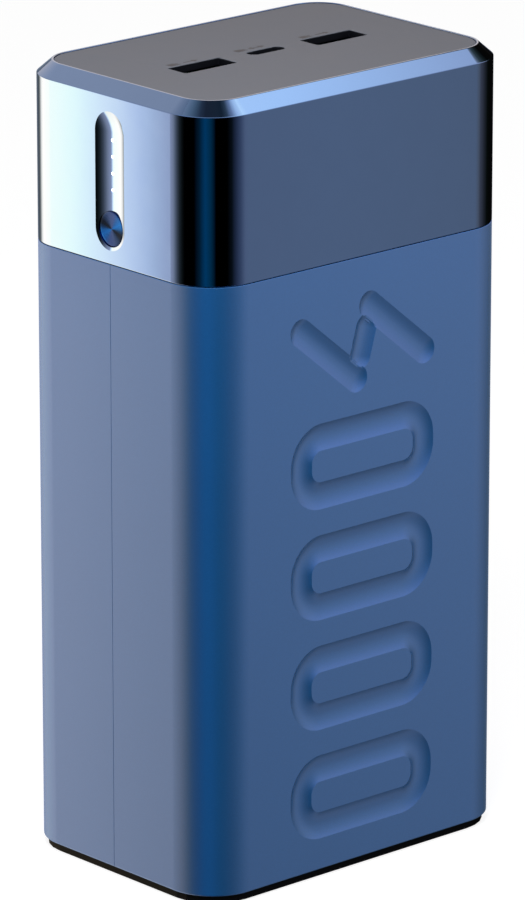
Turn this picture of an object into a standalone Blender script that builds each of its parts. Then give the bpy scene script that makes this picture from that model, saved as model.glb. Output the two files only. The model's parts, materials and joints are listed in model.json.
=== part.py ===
"""A tall power bank: a two-part satin case around four pouch cells, a polished cap with the electronics.

Frame: the origin is the centre of the underside, +Z is up, the wide face with the moulded
grooves looks along -Y, and the narrow face with the charge lights and the button along -X.
All sizes are in millimetres and become metres where a mesh or a place is made.
"""

import math

import bmesh
import bpy
from mathutils import Matrix, Vector

MM = 0.001

# Driving dimensions -------------------------------------------------------------------
LENGTH = 77.4  # X, the wide side
DEPTH = 54.0  # Y, the narrow side
HEIGHT = 154.8  # Z, standing on its base
CORNER = 10.0  # radius of the four upright edges
CORNER_STEPS = 6
WALL = 2.0
GAP = 0.3  # between pieces that rest on each other
SOLDER_GAP = 0.1  # between a board and what is soldered to it
SEAM = 0.2  # the line between the two case halves

# Heights, from the table up
PLATE_BOTTOM = 0.3
CASE_BOTTOM = 1.85
CASE_TOP = 120.1
NECK_TOP = 122.6
CAP_BOTTOM = CASE_TOP + 0.35
CHAMFER_BOTTOM = HEIGHT - 2.5
CHAMFER_INSET = 2.85

# The cells, face to face
CELL_BOTTOM, CELL_TOP = 10.2, 113.4
CELL_PITCH, CELL_THICKNESS, CELL_WIDTH = 11.9, 10.9, 65.5
CELL_PLACES = [(n - 1.5) * CELL_PITCH for n in range(4)]

# The case halves
RIM_BOTTOM, SEAT_TOP = 114.0, 118.3  # the thick rim that the divider sits on
SEAT_INSET, NECK_INSET, NECK_BORE = 5.0, WALL + GAP, 3.8
BOSS_RADIUS, BOSS_TOP, BOSS_OFFSET = 2.4, 9.6, 4.4

# The grooves moulded in the front face: four rings and a bolt of three strokes
GROOVE_WIDTH, GROOVE_DEPTH = 5.3, 0.8
RING_PITCH, FIRST_RING = 21.75, 16.5
RING_HALF_LENGTH, RING_HALF_HEIGHT, RING_CORNER = 15.45, 5.7, 5.0
BOLT_CENTRE = 103.9

# The scoop with the lights, and the button at its lower end
SCOOP_WIDTH, SCOOP_LENGTH, SCOOP_DEPTH = 8.1, 26.4, 0.6
SCOOP_CENTRE = 136.2
BUTTON_HEIGHT = SCOOP_CENTRE - (SCOOP_LENGTH - SCOOP_WIDTH) / 2
BUTTON_RADIUS, BUTTON_BORE, BUTTON_FACE = 3.3, 3.5, 0.4
LIGHT_PITCH, FIRST_LIGHT, LIGHT_COUNT = 3.16, 134.4, 4
TIP_RADIUS, TIP_BORE = 0.3, 0.4

# The sockets in the top, and their board
PANEL_RECESS, PANEL_THICKNESS, RIM_WIDTH, LEDGE = 0.15, 1.5, 0.4, 2.0
PANEL_GAP = 0.15
PANEL_TOP = HEIGHT - PANEL_RECESS
PANEL_BOTTOM = PANEL_TOP - PANEL_THICKNESS
SOCKET_TOP = PANEL_BOTTOM - GAP
USB_A_X, USB_A_Y = 16.5, -0.7
USB_A_MOUTH = (12.5, 5.12)
USB_C_Y = 0.1
USB_C_MOUTH = (8.34, 2.56)
SHEET = 0.3  # metal thickness of a socket's shell
BOARD_FRONT, BOARD_THICKNESS = 2.5, 1.6
BOARD_LOW, BOARD_HIGH = (-29.1, 121.2), (34.5, 150.2)  # X and Z
SCREW_Z = 127.0  # the board's two screws, and the posts that they hold it to
POST_PLACES = (-22.0, 28.5)

PARTS = "power_bank"
CUTTERS = "cutters"


# Scene and materials ------------------------------------------------------------------
def clear_scene():
    for obj in list(bpy.data.objects):
        bpy.data.objects.remove(obj)


def collection(name):
    found = bpy.data.collections.get(name)
    if found is None:
        found = bpy.data.collections.new(name)
        bpy.context.scene.collection.children.link(found)
    return found


def material(name, colour, roughness, metallic=0.0):
    made = bpy.data.materials.get(name)
    if made is None:
        made = bpy.data.materials.new(name)
        made.use_nodes = True
        shader = made.node_tree.nodes["Principled BSDF"]
        shader.inputs["Base Color"].default_value = (*colour, 1.0)
        shader.inputs["Roughness"].default_value = roughness
        shader.inputs["Metallic"].default_value = metallic
    return made


def satin_blue():
    return material("satin_blue", (0.05, 0.12, 0.28), 0.35, 0.7)


def mirror_blue():
    return material("mirror_blue", (0.45, 0.56, 0.80), 0.08, 1.0)


def panel_grey():
    return material("panel_grey", (0.16, 0.165, 0.19), 0.5)


def black_plastic():
    return material("black_plastic", (0.02, 0.02, 0.022), 0.5)


def black_rubber():
    return material("black_rubber", (0.015, 0.015, 0.015), 0.8)


def clear_plastic():
    return material("clear_plastic", (0.9, 0.94, 1.0), 0.15)


def steel():
    return material("steel", (0.55, 0.55, 0.57), 0.3, 1.0)


def gold_contact():
    return material("gold_contact", (0.83, 0.63, 0.25), 0.25, 1.0)


def nickel():
    return material("nickel", (0.62, 0.6, 0.55), 0.3, 1.0)


def pouch_foil():
    return material("pouch_foil", (0.72, 0.73, 0.75), 0.35, 1.0)


def board_green():
    return material("board_green", (0.02, 0.16, 0.07), 0.4)


def chip_black():
    return material("chip_black", (0.02, 0.02, 0.022), 0.45)


def foam_grey():
    return material("foam_grey", (0.12, 0.12, 0.13), 0.95)


# Shapes -------------------------------------------------------------------------------
def put(name, bm, at=(0, 0, 0), look=None):
    """An object of this mesh at a place in millimetres: a part if it has a look, or else a cutter."""
    mesh = bpy.data.meshes.new(name)
    bm.to_mesh(mesh)
    bm.free()
    obj = bpy.data.objects.new(name, mesh)
    obj.location = Vector(at) * MM
    if look is None:
        obj.hide_render = True
        obj.display_type = "WIRE"
        collection(CUTTERS).objects.link(obj)
    else:
        mesh.materials.append(look)
        collection(PARTS).objects.link(obj)
    return obj


def cube(size):
    bm = bmesh.new()
    bmesh.ops.create_cube(bm, size=1)
    bmesh.ops.transform(bm, matrix=Matrix.Diagonal((*(s * MM for s in size), 1)), verts=bm.verts)
    return bm


def box(name, low, high, look=None, rounding=0.0):
    """A box from one corner to the other, with all its edges rounded if it has a rounding."""
    size = [h - l for l, h in zip(low, high)]
    bm = cube(size)
    if rounding:
        bmesh.ops.bevel(
            bm, geom=bm.edges[:], offset=rounding * MM, segments=2, profile=0.5, affect="EDGES"
        )
    return put(name, bm, [(l + h) / 2 for l, h in zip(low, high)], look)


def upright_edges(bm):
    return [e for e in bm.edges if abs(e.verts[0].co.z - e.verts[1].co.z) > 1e-6]


def prism(name, length, depth, radius, bottom, top, look=None, at=(0, 0), steps=CORNER_STEPS):
    """An upright prism whose outline is a rectangle with rounded corners."""
    bm = cube((length, depth, top - bottom))
    bmesh.ops.bevel(
        bm, geom=upright_edges(bm), offset=radius * MM, segments=steps, profile=0.5, affect="EDGES"
    )
    return put(name, bm, (*at, (bottom + top) / 2), look)


def inset_prism(name, inset, bottom, top, look=None):
    """A prism that follows the case's own outline, this far inside it."""
    return prism(name, LENGTH - 2 * inset, DEPTH - 2 * inset, CORNER - inset, bottom, top, look)


def rod(name, radius, start, end, look=None, segments=24):
    start, end = Vector(start), Vector(end)
    along = end - start
    bm = bmesh.new()
    bmesh.ops.create_cone(
        bm,
        cap_ends=True,
        segments=segments,
        radius1=radius * MM,
        radius2=radius * MM,
        depth=along.length * MM,
        matrix=along.to_track_quat("Z", "Y").to_matrix().to_4x4(),
    )
    return put(name, bm, (start + end) / 2, look)


def capsule(name, radius, start, end):
    """A cutter with round ends: a ball's two halves moved apart.

    An odd count of rings leaves none midway.
    """
    start, end = Vector(start), Vector(end)
    half = (end - start) / 2
    turn = half.to_track_quat("Z", "Y").to_matrix().to_4x4()
    bm = bmesh.new()
    bmesh.ops.create_uvsphere(bm, u_segments=40, v_segments=29, radius=radius * MM)
    for vertex in bm.verts:
        vertex.co.z += math.copysign(half.length * MM, vertex.co.z)
    bmesh.ops.transform(bm, matrix=turn, verts=bm.verts)
    return put(name, bm, (start + end) / 2)


def turned(name, profile, at, look, points_to):
    """A turned piece. The profile is (radius, height) from the top of its axis down to the bottom."""
    mesh = bpy.data.meshes.new(name)
    points = [(radius * MM, 0, height * MM) for radius, height in profile]
    mesh.from_pydata(points, [(i, i + 1) for i in range(len(points) - 1)], [])
    mesh.materials.append(look)
    obj = bpy.data.objects.new(name, mesh)
    obj.location = Vector(at) * MM
    turns = {"-Z": (math.pi, 0, 0), "-Y": (math.pi / 2, 0, 0), "-X": (0, -math.pi / 2, 0)}
    obj.rotation_euler = turns[points_to]
    collection(PARTS).objects.link(obj)
    screw = obj.modifiers.new("turn", "SCREW")
    screw.steps = screw.render_steps = 24
    screw.use_merge_vertices = True
    screw.merge_threshold = 1e-6
    return obj


def boolean(obj, operation, *others):
    for other in others:
        step = obj.modifiers.new(f"{operation.lower()}_{other.name}", "BOOLEAN")
        step.operation = operation
        step.object = other
    return obj


def cut(obj, *others):
    return boolean(obj, "DIFFERENCE", *others)


def join(obj, *others):
    return boolean(obj, "UNION", *others)


def meshed(curve_object):
    """A curve made a mesh with its caps welded, in the cutters' collection."""
    graph = bpy.context.evaluated_depsgraph_get()
    mesh = bpy.data.meshes.new_from_object(curve_object.evaluated_get(graph))
    bm = bmesh.new()
    bm.from_mesh(mesh)
    bmesh.ops.remove_doubles(bm, verts=bm.verts, dist=1e-7)
    bmesh.ops.recalc_face_normals(bm, faces=bm.faces)
    name, place = curve_object.name, curve_object.matrix_world.copy()
    bpy.data.objects.remove(curve_object)
    bpy.data.meshes.remove(mesh)
    obj = put(name, bm)
    obj.matrix_world = place
    return obj


def tube(name, radius, points, look=None, cyclic=False, resolution=2):
    """A round tube along points in millimetres, as a curve with a bevel."""
    curve = bpy.data.curves.new(name, "CURVE")
    curve.dimensions = "3D"
    curve.bevel_depth = radius * MM
    curve.bevel_resolution = resolution
    curve.use_fill_caps = not cyclic
    spline = curve.splines.new("POLY")
    spline.points.add(len(points) - 1)
    for spline_point, point in zip(spline.points, points):
        spline_point.co = (*(Vector(point) * MM), 1)
    spline.use_cyclic_u = cyclic
    obj = bpy.data.objects.new(name, curve)
    if look is None:
        collection(CUTTERS).objects.link(obj)
        return obj
    curve.materials.append(look)
    collection(PARTS).objects.link(obj)
    return obj


def smooth_route(knots, steps):
    """Points on a Catmull-Rom curve through the knots."""
    knots = [Vector(k) for k in knots]
    padded = [2 * knots[0] - knots[1], *knots, 2 * knots[-1] - knots[-2]]
    points = []
    for a, b, c, d in zip(padded, padded[1:], padded[2:], padded[3:]):
        for step in range(steps):
            t = step / steps
            points.append(
                b
                + (c - a) * t / 2
                + (2 * a - 5 * b + 4 * c - d) * t**2 / 2
                + (3 * b - a - 3 * c + d) * t**3 / 2
            )
    return [*points, knots[-1]]


# The case -----------------------------------------------------------------------------
def boss_places(side):
    """Centres of the two screw bosses of the case half on this side of Y, near the corners."""
    reach = BOSS_OFFSET / math.sqrt(2)
    x, y = LENGTH / 2 - CORNER + reach, DEPTH / 2 - CORNER + reach
    return [(-x, side * y), (x, side * y)]


def groove_cutter_depth():
    """Radius and stand-off of a round cutter whose groove has the stated width and depth."""
    radius = ((GROOVE_WIDTH / 2) ** 2 + GROOVE_DEPTH**2) / (2 * GROOVE_DEPTH)
    return radius, radius - GROOVE_DEPTH


def ring_path(height):
    """The centre line of one ring groove, a rectangle with round corners, in front of the face."""
    off = groove_cutter_depth()[1]
    flat_x, flat_z = RING_HALF_LENGTH - RING_CORNER, RING_HALF_HEIGHT - RING_CORNER
    points = []
    for quarter, (side_x, side_z) in enumerate(((1, 1), (-1, 1), (-1, -1), (1, -1))):
        for step in range(7):
            angle = math.radians(90 * quarter + 15 * step)
            x = side_x * flat_x + RING_CORNER * math.cos(angle)
            z = side_z * flat_z + RING_CORNER * math.sin(angle)
            points.append((x, -DEPTH / 2 - off, height + z))
    return points


def bolt_strokes():
    """The three strokes of the bolt, on its side, as ends in X and Z about its centre."""
    knee = (1.6, 6.9)
    tip = (15.6, -4.6)
    return [(tip, knee), ((0.75, 2.6), (-0.75, -2.6)), ((-knee[0], -knee[1]), (-tip[0], -tip[1]))]


def groove_cutters():
    radius, off = groove_cutter_depth()
    front = -DEPTH / 2 - off
    heights = [FIRST_RING + n * RING_PITCH for n in range(4)]
    rings = [
        meshed(tube(f"ring_{height:.0f}", radius, ring_path(height), cyclic=True, resolution=14))
        for height in heights
    ]
    strokes = [
        capsule(
            f"stroke_{n + 1}",
            radius,
            (start[0], front, BOLT_CENTRE + start[1]),
            (end[0], front, BOLT_CENTRE + end[1]),
        )
        for n, (start, end) in enumerate(bolt_strokes())
    ]
    return rings + strokes


def case_half(name, side):
    """One half of the case, on this side of Y: a wall, a thick rim with a seat, a neck and two bosses."""
    half = inset_prism(name, 0, CASE_BOTTOM, CASE_TOP, satin_blue())
    half.data.shade_smooth()
    half.data.set_sharp_from_angle(angle=math.radians(35))
    join(half, inset_prism(f"{name}_neck", NECK_INSET, CASE_TOP - 3, NECK_TOP))
    cut(
        half,
        inset_prism(f"{name}_cell_space", WALL, CASE_BOTTOM - 1, RIM_BOTTOM),
        inset_prism(f"{name}_rim_bore", SEAT_INSET, RIM_BOTTOM - 1, SEAT_TOP + 1),
        inset_prism(f"{name}_seat_bore", NECK_BORE, SEAT_TOP, NECK_TOP + 1),
    )
    far = LENGTH
    other_side = sorted((-side * far, side * SEAM / 2))
    cut(half, box(f"{name}_parting", (-far, other_side[0], -far), (far, other_side[1], 3 * far)))
    for n, (x, y) in enumerate(boss_places(side)):
        out_x, out_y = math.copysign(1, x), math.copysign(1, y)
        boss = rod(f"{name}_boss_{n}", BOSS_RADIUS, (x, y, 4.1), (x, y, BOSS_TOP))
        rib = box(f"{name}_rib_{n}", (0.6, -0.8, 4.4), (5.0, 0.8, BOSS_TOP - 0.4))
        rib.rotation_euler.z = math.atan2(out_y, out_x)
        middle = rib.location.x / math.sqrt(2)
        rib.location.x, rib.location.y = x * MM + out_x * middle, y * MM + out_y * middle
        join(half, boss, rib)
        cut(half, rod(f"{name}_pilot_{n}", 1.15, (x, y, 3.5), (x, y, BOSS_TOP - 0.6)))
    return half


def case():
    """The two halves, with a lip on the rear one that closes the seam from inside."""
    front = case_half("front_shell", -1)
    rear = case_half("rear_shell", 1)
    lip_outer = LENGTH / 2 - 1.2
    inner = LENGTH / 2 - WALL
    low, high = CASE_BOTTOM + 2.5, RIM_BOTTOM - 1
    for side, label in ((-1, "left"), (1, "right")):
        span = sorted((side * (inner - 0.4), side * lip_outer))
        room = sorted((side * (inner - 1), side * (lip_outer + GAP)))
        join(rear, box(f"lip_{label}", (span[0], -1.6, low), (span[1], 1.0, high)))
        cut(front, box(f"rebate_{label}", (room[0], -1.9, CASE_BOTTOM - 1), (room[1], 1.0, high + GAP)))
    cut(front, *groove_cutters())


def base():
    """The black plate under the case, its four screws, and the rubber pad that hides them."""
    plate = inset_prism("base_plate", 0.85, PLATE_BOTTOM, CASE_BOTTOM - GAP, black_plastic())
    join(plate, inset_prism("base_plug", WALL + GAP, CASE_BOTTOM - 1, 3.8))
    pad_inset = 3.0
    cut(plate, inset_prism("pad_recess", pad_inset, -1, 1.2))
    places = boss_places(-1) + boss_places(1)
    for n, (x, y) in enumerate(places):
        cut(plate, rod(f"counterbore_{n}", 2.15, (x, y, 1), (x, y, 2.65)))
        cut(plate, rod(f"screw_hole_{n}", 1.25, (x, y, 2), (x, y, 5)))
        head = [(0, 0.65), (0.7, 0.65), (0.8, 1.2), (1.5, 1.1), (1.85, 0.6), (1.85, 0)]
        shank = [(1.0, 0), (1.0, -5.4), (0, -6.1)]
        turned(f"base_screw_{n + 1}", head + shank, (x, y, 2.55), steel(), "-Z")
    inset_prism("base_pad", pad_inset + 0.2, 0, 0.9, black_rubber())


# The cells ----------------------------------------------------------------------------
def cells():
    """Four pouch cells face to face, with spacers between them and foam outside."""
    x = CELL_WIDTH / 2
    for n, y in enumerate(CELL_PLACES):
        low = (-x, y - CELL_THICKNESS / 2, CELL_BOTTOM)
        box(f"cell_{n + 1}", low, (x, y + CELL_THICKNESS / 2, CELL_TOP), pouch_foil(), rounding=2.0)
    for n, y in enumerate(CELL_PLACES[:-1]):
        middle = y + CELL_PITCH / 2
        box(
            f"cell_spacer_{n + 1}",
            (-28, middle - 0.2, CELL_BOTTOM + 6),
            (28, middle + 0.2, CELL_TOP - 6),
            foam_grey(),
        )
    outer = CELL_PLACES[-1] + CELL_THICKNESS / 2 + GAP
    box("rear_foam", (-28, outer, 14), (28, outer + 1.0, 110), foam_grey())
    box("front_foam", (-28, -outer - 1.0, 14), (28, -outer, 110), foam_grey())


def busbar(name, x):
    """A nickel strip across the cells, with a leg down to each cell's tab."""
    strip = box(name, (x - 3, -19.5, 114.3), (x + 3, 19.5, 114.7), nickel())
    for n, y in enumerate(CELL_PLACES):
        low, high = (x - 2.4, y - 0.2, CELL_TOP + 0.2), (x + 2.4, y + 0.2, 114.5)
        join(strip, box(f"{name}_leg_{n}", low, high))


def protection():
    """The cells' busbars, their protection board and the insulating sheet over them."""
    busbar("positive_busbar", -18)
    busbar("negative_busbar", 18)
    box("protection_board", (-24, -4, 115.1), (24, 4, 116.1), board_green())
    box("protection_chip", (-3, -2.2, 116.2), (3, 2.2, 117.1), chip_black())
    sheet = inset_prism("insulator_sheet", SEAT_INSET + GAP, 117.6, 117.9, foam_grey())
    cut(sheet, box("sheet_window", (9, -5, 117), (27, 2, 119)))


def leads():
    """The red and the black lead, from the protection board up to the main board."""
    for name, x, look in (
        ("battery_lead_red", 23, material("lead_red", (0.5, 0.02, 0.02), 0.5)),
        ("battery_lead_black", 16, material("lead_black", (0.02, 0.02, 0.02), 0.5)),
    ):
        knots = [
            (x - 3, -2, 116.3),
            (x - 2.6, -2.1, 118.4),
            (x - 1.2, -1.5, 121),
            (x - 0.2, 0.2, 123.6),
            (x, 1.4, 126),
            (x, 1.5, 129),
        ]
        tube(name, 0.8, smooth_route(knots, 4), look)


# The cap ------------------------------------------------------------------------------
def cap():
    """The polished cap: a chamfered collar with a ledge for the panel, the scoop and its holes."""
    bm = cube((LENGTH, DEPTH, CHAMFER_BOTTOM - CAP_BOTTOM))
    bmesh.ops.bevel(
        bm, geom=upright_edges(bm), offset=CORNER * MM, segments=CORNER_STEPS, profile=0.5, affect="EDGES"
    )
    top = max(bm.faces, key=lambda face: face.calc_center_median().z)
    bmesh.ops.inset_region(bm, faces=[top], thickness=CHAMFER_INSET * MM, use_even_offset=True)
    bmesh.ops.translate(bm, verts=top.verts, vec=(0, 0, (HEIGHT - CHAMFER_BOTTOM) * MM))
    shell = put("top_cap", bm, (0, 0, (CAP_BOTTOM + CHAMFER_BOTTOM) / 2), mirror_blue())
    shell.data.shade_smooth()
    shell.data.set_sharp_from_angle(angle=math.radians(30))
    ledge_top = PANEL_BOTTOM - GAP
    recess = CHAMFER_INSET + RIM_WIDTH
    cut(
        shell,
        inset_prism("cap_bore", WALL, CAP_BOTTOM - 1, ledge_top - LEDGE),
        inset_prism("cap_window", recess + LEDGE, ledge_top - LEDGE - 1, HEIGHT + 1),
        inset_prism("panel_recess", recess, ledge_top, HEIGHT + 1),
    )
    ball = ((SCOOP_WIDTH / 2) ** 2 + SCOOP_DEPTH**2) / (2 * SCOOP_DEPTH)
    axis = -LENGTH / 2 - (ball - SCOOP_DEPTH)
    half = (SCOOP_LENGTH - SCOOP_WIDTH) / 2
    scoop = capsule("scoop", ball, (axis, 0, SCOOP_CENTRE - half), (axis, 0, SCOOP_CENTRE + half))
    cut(shell, scoop, wall_drill("button_bore", BUTTON_BORE, BUTTON_HEIGHT, segments=32))
    for n, height in enumerate(light_heights()):
        cut(shell, wall_drill(f"light_hole_{n}", TIP_BORE, height, segments=12))


def wall_drill(name, radius, height, segments):
    """A round cutter through the cap's narrow wall at this height."""
    outside, inside = -LENGTH / 2 - 2, -LENGTH / 2 + WALL + 2
    return rod(name, radius, (outside, 0, height), (inside, 0, height), segments=segments)


def panel():
    """The matt panel in the top, with a window for each socket."""
    inset = CHAMFER_INSET + RIM_WIDTH + PANEL_GAP
    plate = inset_prism("port_panel", inset, PANEL_BOTTOM, PANEL_TOP, panel_grey())
    heights = (PANEL_BOTTOM - 1, PANEL_TOP + 1)
    for side, label in ((-1, "left"), (1, "right")):
        window = (USB_A_MOUTH[0] + 0.1, USB_A_MOUTH[1] + 0.1)
        place = (side * USB_A_X, USB_A_Y)
        cut(plate, prism(f"usb_a_window_{label}", *window, 0.3, *heights, at=place, steps=2))
    window = (USB_C_MOUTH[0] + 0.1, USB_C_MOUTH[1] + 0.1)
    cut(plate, prism("usb_c_window", *window, 1.32, *heights, at=(0, USB_C_Y), steps=5))


def light_heights():
    return [FIRST_LIGHT + n * LIGHT_PITCH for n in range(LIGHT_COUNT)]


# The electronics ----------------------------------------------------------------------
def socket_shell(name, mouth, corner, at, bottom):
    """A socket's sheet-metal shell: a tube of this mouth, standing behind the panel."""
    outer = [side + 2 * SHEET for side in mouth]
    shell = prism(name, *outer, corner + SHEET, bottom, SOCKET_TOP, steel(), at, steps=4)
    return cut(shell, prism(f"{name}_mouth", *mouth, corner, bottom - 1, SOCKET_TOP + 1, at=at, steps=4))


def usb_a(label, x):
    """A USB-A socket: its shell, its tongue on the side away from the board, and four contacts."""
    bottom, y = SOCKET_TOP - 14.0, USB_A_Y
    socket_shell(f"usb_a_shell_{label}", USB_A_MOUTH, 0.3, (x, y), bottom)
    tongue = box(
        f"usb_a_tongue_{label}",
        (x - 6.1, y - 2.4, bottom + 0.2),
        (x + 6.1, y + 2.4, bottom + 3.2),
        black_plastic(),
    )
    tongue_low, tongue_high = y - 1.86, y - 0.02
    blade = box(
        f"usb_a_blade_{label}",
        (x - 5.55, tongue_low, bottom + 2.5),
        (x + 5.55, tongue_high, SOCKET_TOP - 0.8),
    )
    join(tongue, blade)
    for n, off in enumerate((-3.5, -1.0, 1.0, 3.5)):
        box(
            f"usb_a_contact_{label}_{n + 1}",
            (x + off - 0.5, tongue_high + 0.05, bottom + 3.4),
            (x + off + 0.5, tongue_high + 0.3, SOCKET_TOP - 2.2),
            gold_contact(),
        )


def usb_c():
    """The USB-C socket: an oval shell and a thin tongue in its middle."""
    bottom, y = SOCKET_TOP - 7.4, USB_C_Y
    socket_shell("usb_c_shell", USB_C_MOUTH, 1.27, (0, y), bottom)
    heights = (bottom + 0.2, bottom + 1.8)
    block = prism("usb_c_tongue", 8.1, 2.3, 1.14, *heights, black_plastic(), (0, y), steps=4)
    join(block, box("usb_c_blade", (-3.35, y - 0.35, bottom + 1), (3.35, y + 0.35, SOCKET_TOP - 0.9)))


def main_board():
    """The board that carries the sockets, held by two screws to the divider's posts."""
    back = BOARD_FRONT + BOARD_THICKNESS
    board = box(
        "main_board",
        (BOARD_LOW[0], BOARD_FRONT, BOARD_LOW[1]),
        (BOARD_HIGH[0], back, BOARD_HIGH[1]),
        board_green(),
    )
    for n, x in enumerate(POST_PLACES):
        cut(board, rod(f"board_hole_{n}", 1.25, (x, BOARD_FRONT - 1, SCREW_Z), (x, back + 1, SCREW_Z)))
        head = [(0, 0.6), (0.6, 0.6), (0.7, 1.1), (1.3, 1.0), (1.7, 0.5), (1.7, 0)]
        shank = [(1.0, 0), (1.0, -5.0), (0, -5.6)]
        turned(f"board_screw_{n + 1}", head + shank, (x, BOARD_FRONT - 0.2, SCREW_Z), steel(), "-Y")
    face = BOARD_FRONT - SOLDER_GAP
    ferrite = material("ferrite", (0.06, 0.06, 0.065), 0.7)
    box("boost_inductor", (-16, face - 4.6, 124), (-6, face, 134), ferrite, rounding=0.8)
    box("buck_inductor", (-3, face - 4.2, 125), (6, face, 134), ferrite, rounding=0.8)
    box("controller_chip", (-5, face - 0.9, 137), (2, face, 144), chip_black())
    box("fast_charge_chip", (25, face - 0.9, 139), (30, face, 144), chip_black())
    can = material("capacitor_can", (0.6, 0.6, 0.62), 0.3, 1.0)
    for n, x in enumerate((-9, 9)):
        rod(f"capacitor_{n + 1}", 3.15, (x, back + SOLDER_GAP, 138), (x, back + 7.8, 138), can)


def divider():
    """The tray over the cells, with two posts for the main board and a window for the leads."""
    tray = inset_prism("divider_tray", NECK_BORE + GAP, SEAT_TOP + GAP, CASE_TOP, black_plastic())
    cut(tray, box("lead_window", (9, -5, 117), (27, 2, 122)))
    post_face = BOARD_FRONT + BOARD_THICKNESS + GAP
    for n, x in enumerate(POST_PLACES):
        low, high = (x - 3, post_face, CASE_TOP - 0.8), (x + 3, post_face + 6.6, SCREW_Z + 4)
        join(tray, box(f"post_{n}", low, high))
        ends = (x, post_face - 1, SCREW_Z), (x, post_face + 5.0, SCREW_Z)
        cut(tray, rod(f"post_pilot_{n}", 1.15, *ends))


def light_board():
    """The small upright board behind the scoop, with its lights, switch and clear light guide."""
    board_face = -30.4
    box("led_board", (board_face, -6.5, 123.4), (board_face + 1.0, 6.5, 150), board_green())
    for n, height in enumerate(light_heights()):
        box(
            f"led_{n + 1}",
            (board_face - 0.8, -0.4, height - 0.8),
            (board_face - SOLDER_GAP, 0.4, height + 0.8),
            material("led_white", (0.95, 0.93, 0.8), 0.4),
        )
    wall_inside = -LENGTH / 2 + WALL
    heights = light_heights()
    guide = box(
        "light_guide",
        (wall_inside + GAP, -1.6, heights[0] - 1.7),
        (board_face - 1.0, 1.6, heights[-1] + 1.7),
        clear_plastic(),
    )
    tip = -LENGTH / 2 + SCOOP_DEPTH + 0.05
    for n, height in enumerate(heights):
        ends = (tip, 0, height), (wall_inside + 1, 0, height)
        join(guide, rod(f"guide_tip_{n}", TIP_RADIUS, *ends, segments=12))
    box("link_header", (-29.2, 0.2, 133), (-26.7, BOARD_FRONT - SOLDER_GAP, 143), black_plastic())
    switch_back = board_face - SOLDER_GAP
    low, high = (-33.2, -3, BUTTON_HEIGHT - 3), (switch_back, 3, BUTTON_HEIGHT + 3)
    switch = box("tact_switch", low, high, steel())
    cut(switch, rod("switch_bore", 1.4, (-35, 0, BUTTON_HEIGHT), (-31.4, 0, BUTTON_HEIGHT)))


def button():
    """The button and the switch's plunger that it presses, both on the axis they slide along."""
    face = -LENGTH / 2 + BUTTON_FACE
    axis = bpy.data.objects.new("button_axis", None)
    axis.location = Vector((face, 0, BUTTON_HEIGHT)) * MM
    collection(PARTS).objects.link(axis)
    flange = WALL - BUTTON_FACE + GAP
    edge = BUTTON_RADIUS
    profile = [
        (0, -0.25),
        (1.6, -0.19),
        (edge - 0.25, 0),
        (edge, -0.2),
        (edge, -flange),
        (4.1, -flange),
        (4.1, -flange - 0.8),
        (1.2, -flange - 0.8),
        (1.2, -flange - 1.5),
        (0, -flange - 1.5),
    ]
    cap_piece = turned("power_button", profile, (0, 0, 0), mirror_blue(), "-X")
    ends = (-34.6, 0, BUTTON_HEIGHT), (-32.2, 0, BUTTON_HEIGHT)
    plunger = rod("switch_plunger", 1.2, *ends, black_plastic())
    plunger.location -= axis.location
    for piece in (cap_piece, plunger):
        piece.parent = axis


def main():
    clear_scene()
    case()
    base()
    cells()
    protection()
    leads()
    cap()
    panel()
    usb_a("left", -USB_A_X)
    usb_a("right", USB_A_X)
    usb_c()
    divider()
    main_board()
    light_board()
    button()


main()
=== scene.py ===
import json
import logging
import math
from dataclasses import dataclass, field
from enum import Enum
from typing import Callable, ClassVar, Sequence

import bmesh
import bpy
import numpy as np
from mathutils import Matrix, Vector
from mathutils.geometry import delaunay_2d_cdt

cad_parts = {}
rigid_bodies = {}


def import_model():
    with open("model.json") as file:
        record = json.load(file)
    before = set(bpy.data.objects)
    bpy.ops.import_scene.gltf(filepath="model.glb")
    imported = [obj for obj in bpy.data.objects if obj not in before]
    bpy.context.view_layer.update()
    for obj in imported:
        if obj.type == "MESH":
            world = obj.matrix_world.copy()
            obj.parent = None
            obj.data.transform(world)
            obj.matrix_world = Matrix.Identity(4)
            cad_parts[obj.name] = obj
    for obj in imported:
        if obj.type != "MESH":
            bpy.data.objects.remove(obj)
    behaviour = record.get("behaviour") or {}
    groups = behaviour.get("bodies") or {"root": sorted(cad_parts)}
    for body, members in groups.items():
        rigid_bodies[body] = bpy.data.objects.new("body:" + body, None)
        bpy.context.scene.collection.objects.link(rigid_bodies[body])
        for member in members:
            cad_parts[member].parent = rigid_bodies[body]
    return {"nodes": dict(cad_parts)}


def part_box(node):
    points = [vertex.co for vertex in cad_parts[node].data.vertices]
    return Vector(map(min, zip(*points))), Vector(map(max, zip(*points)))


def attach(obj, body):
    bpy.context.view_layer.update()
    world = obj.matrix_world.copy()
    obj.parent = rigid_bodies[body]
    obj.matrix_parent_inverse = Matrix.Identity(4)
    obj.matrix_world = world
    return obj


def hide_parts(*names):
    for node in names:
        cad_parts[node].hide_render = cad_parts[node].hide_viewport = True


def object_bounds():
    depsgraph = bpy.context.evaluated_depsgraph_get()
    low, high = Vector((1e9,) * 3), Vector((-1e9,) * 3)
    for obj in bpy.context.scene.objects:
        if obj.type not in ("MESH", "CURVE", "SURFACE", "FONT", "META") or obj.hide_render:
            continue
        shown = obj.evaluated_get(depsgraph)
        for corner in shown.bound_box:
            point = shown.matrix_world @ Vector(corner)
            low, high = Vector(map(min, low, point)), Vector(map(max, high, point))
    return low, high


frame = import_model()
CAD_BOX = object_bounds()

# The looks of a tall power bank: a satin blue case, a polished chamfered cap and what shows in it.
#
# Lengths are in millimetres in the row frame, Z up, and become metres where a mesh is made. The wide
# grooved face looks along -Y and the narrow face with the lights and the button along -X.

Array = np.ndarray
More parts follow.
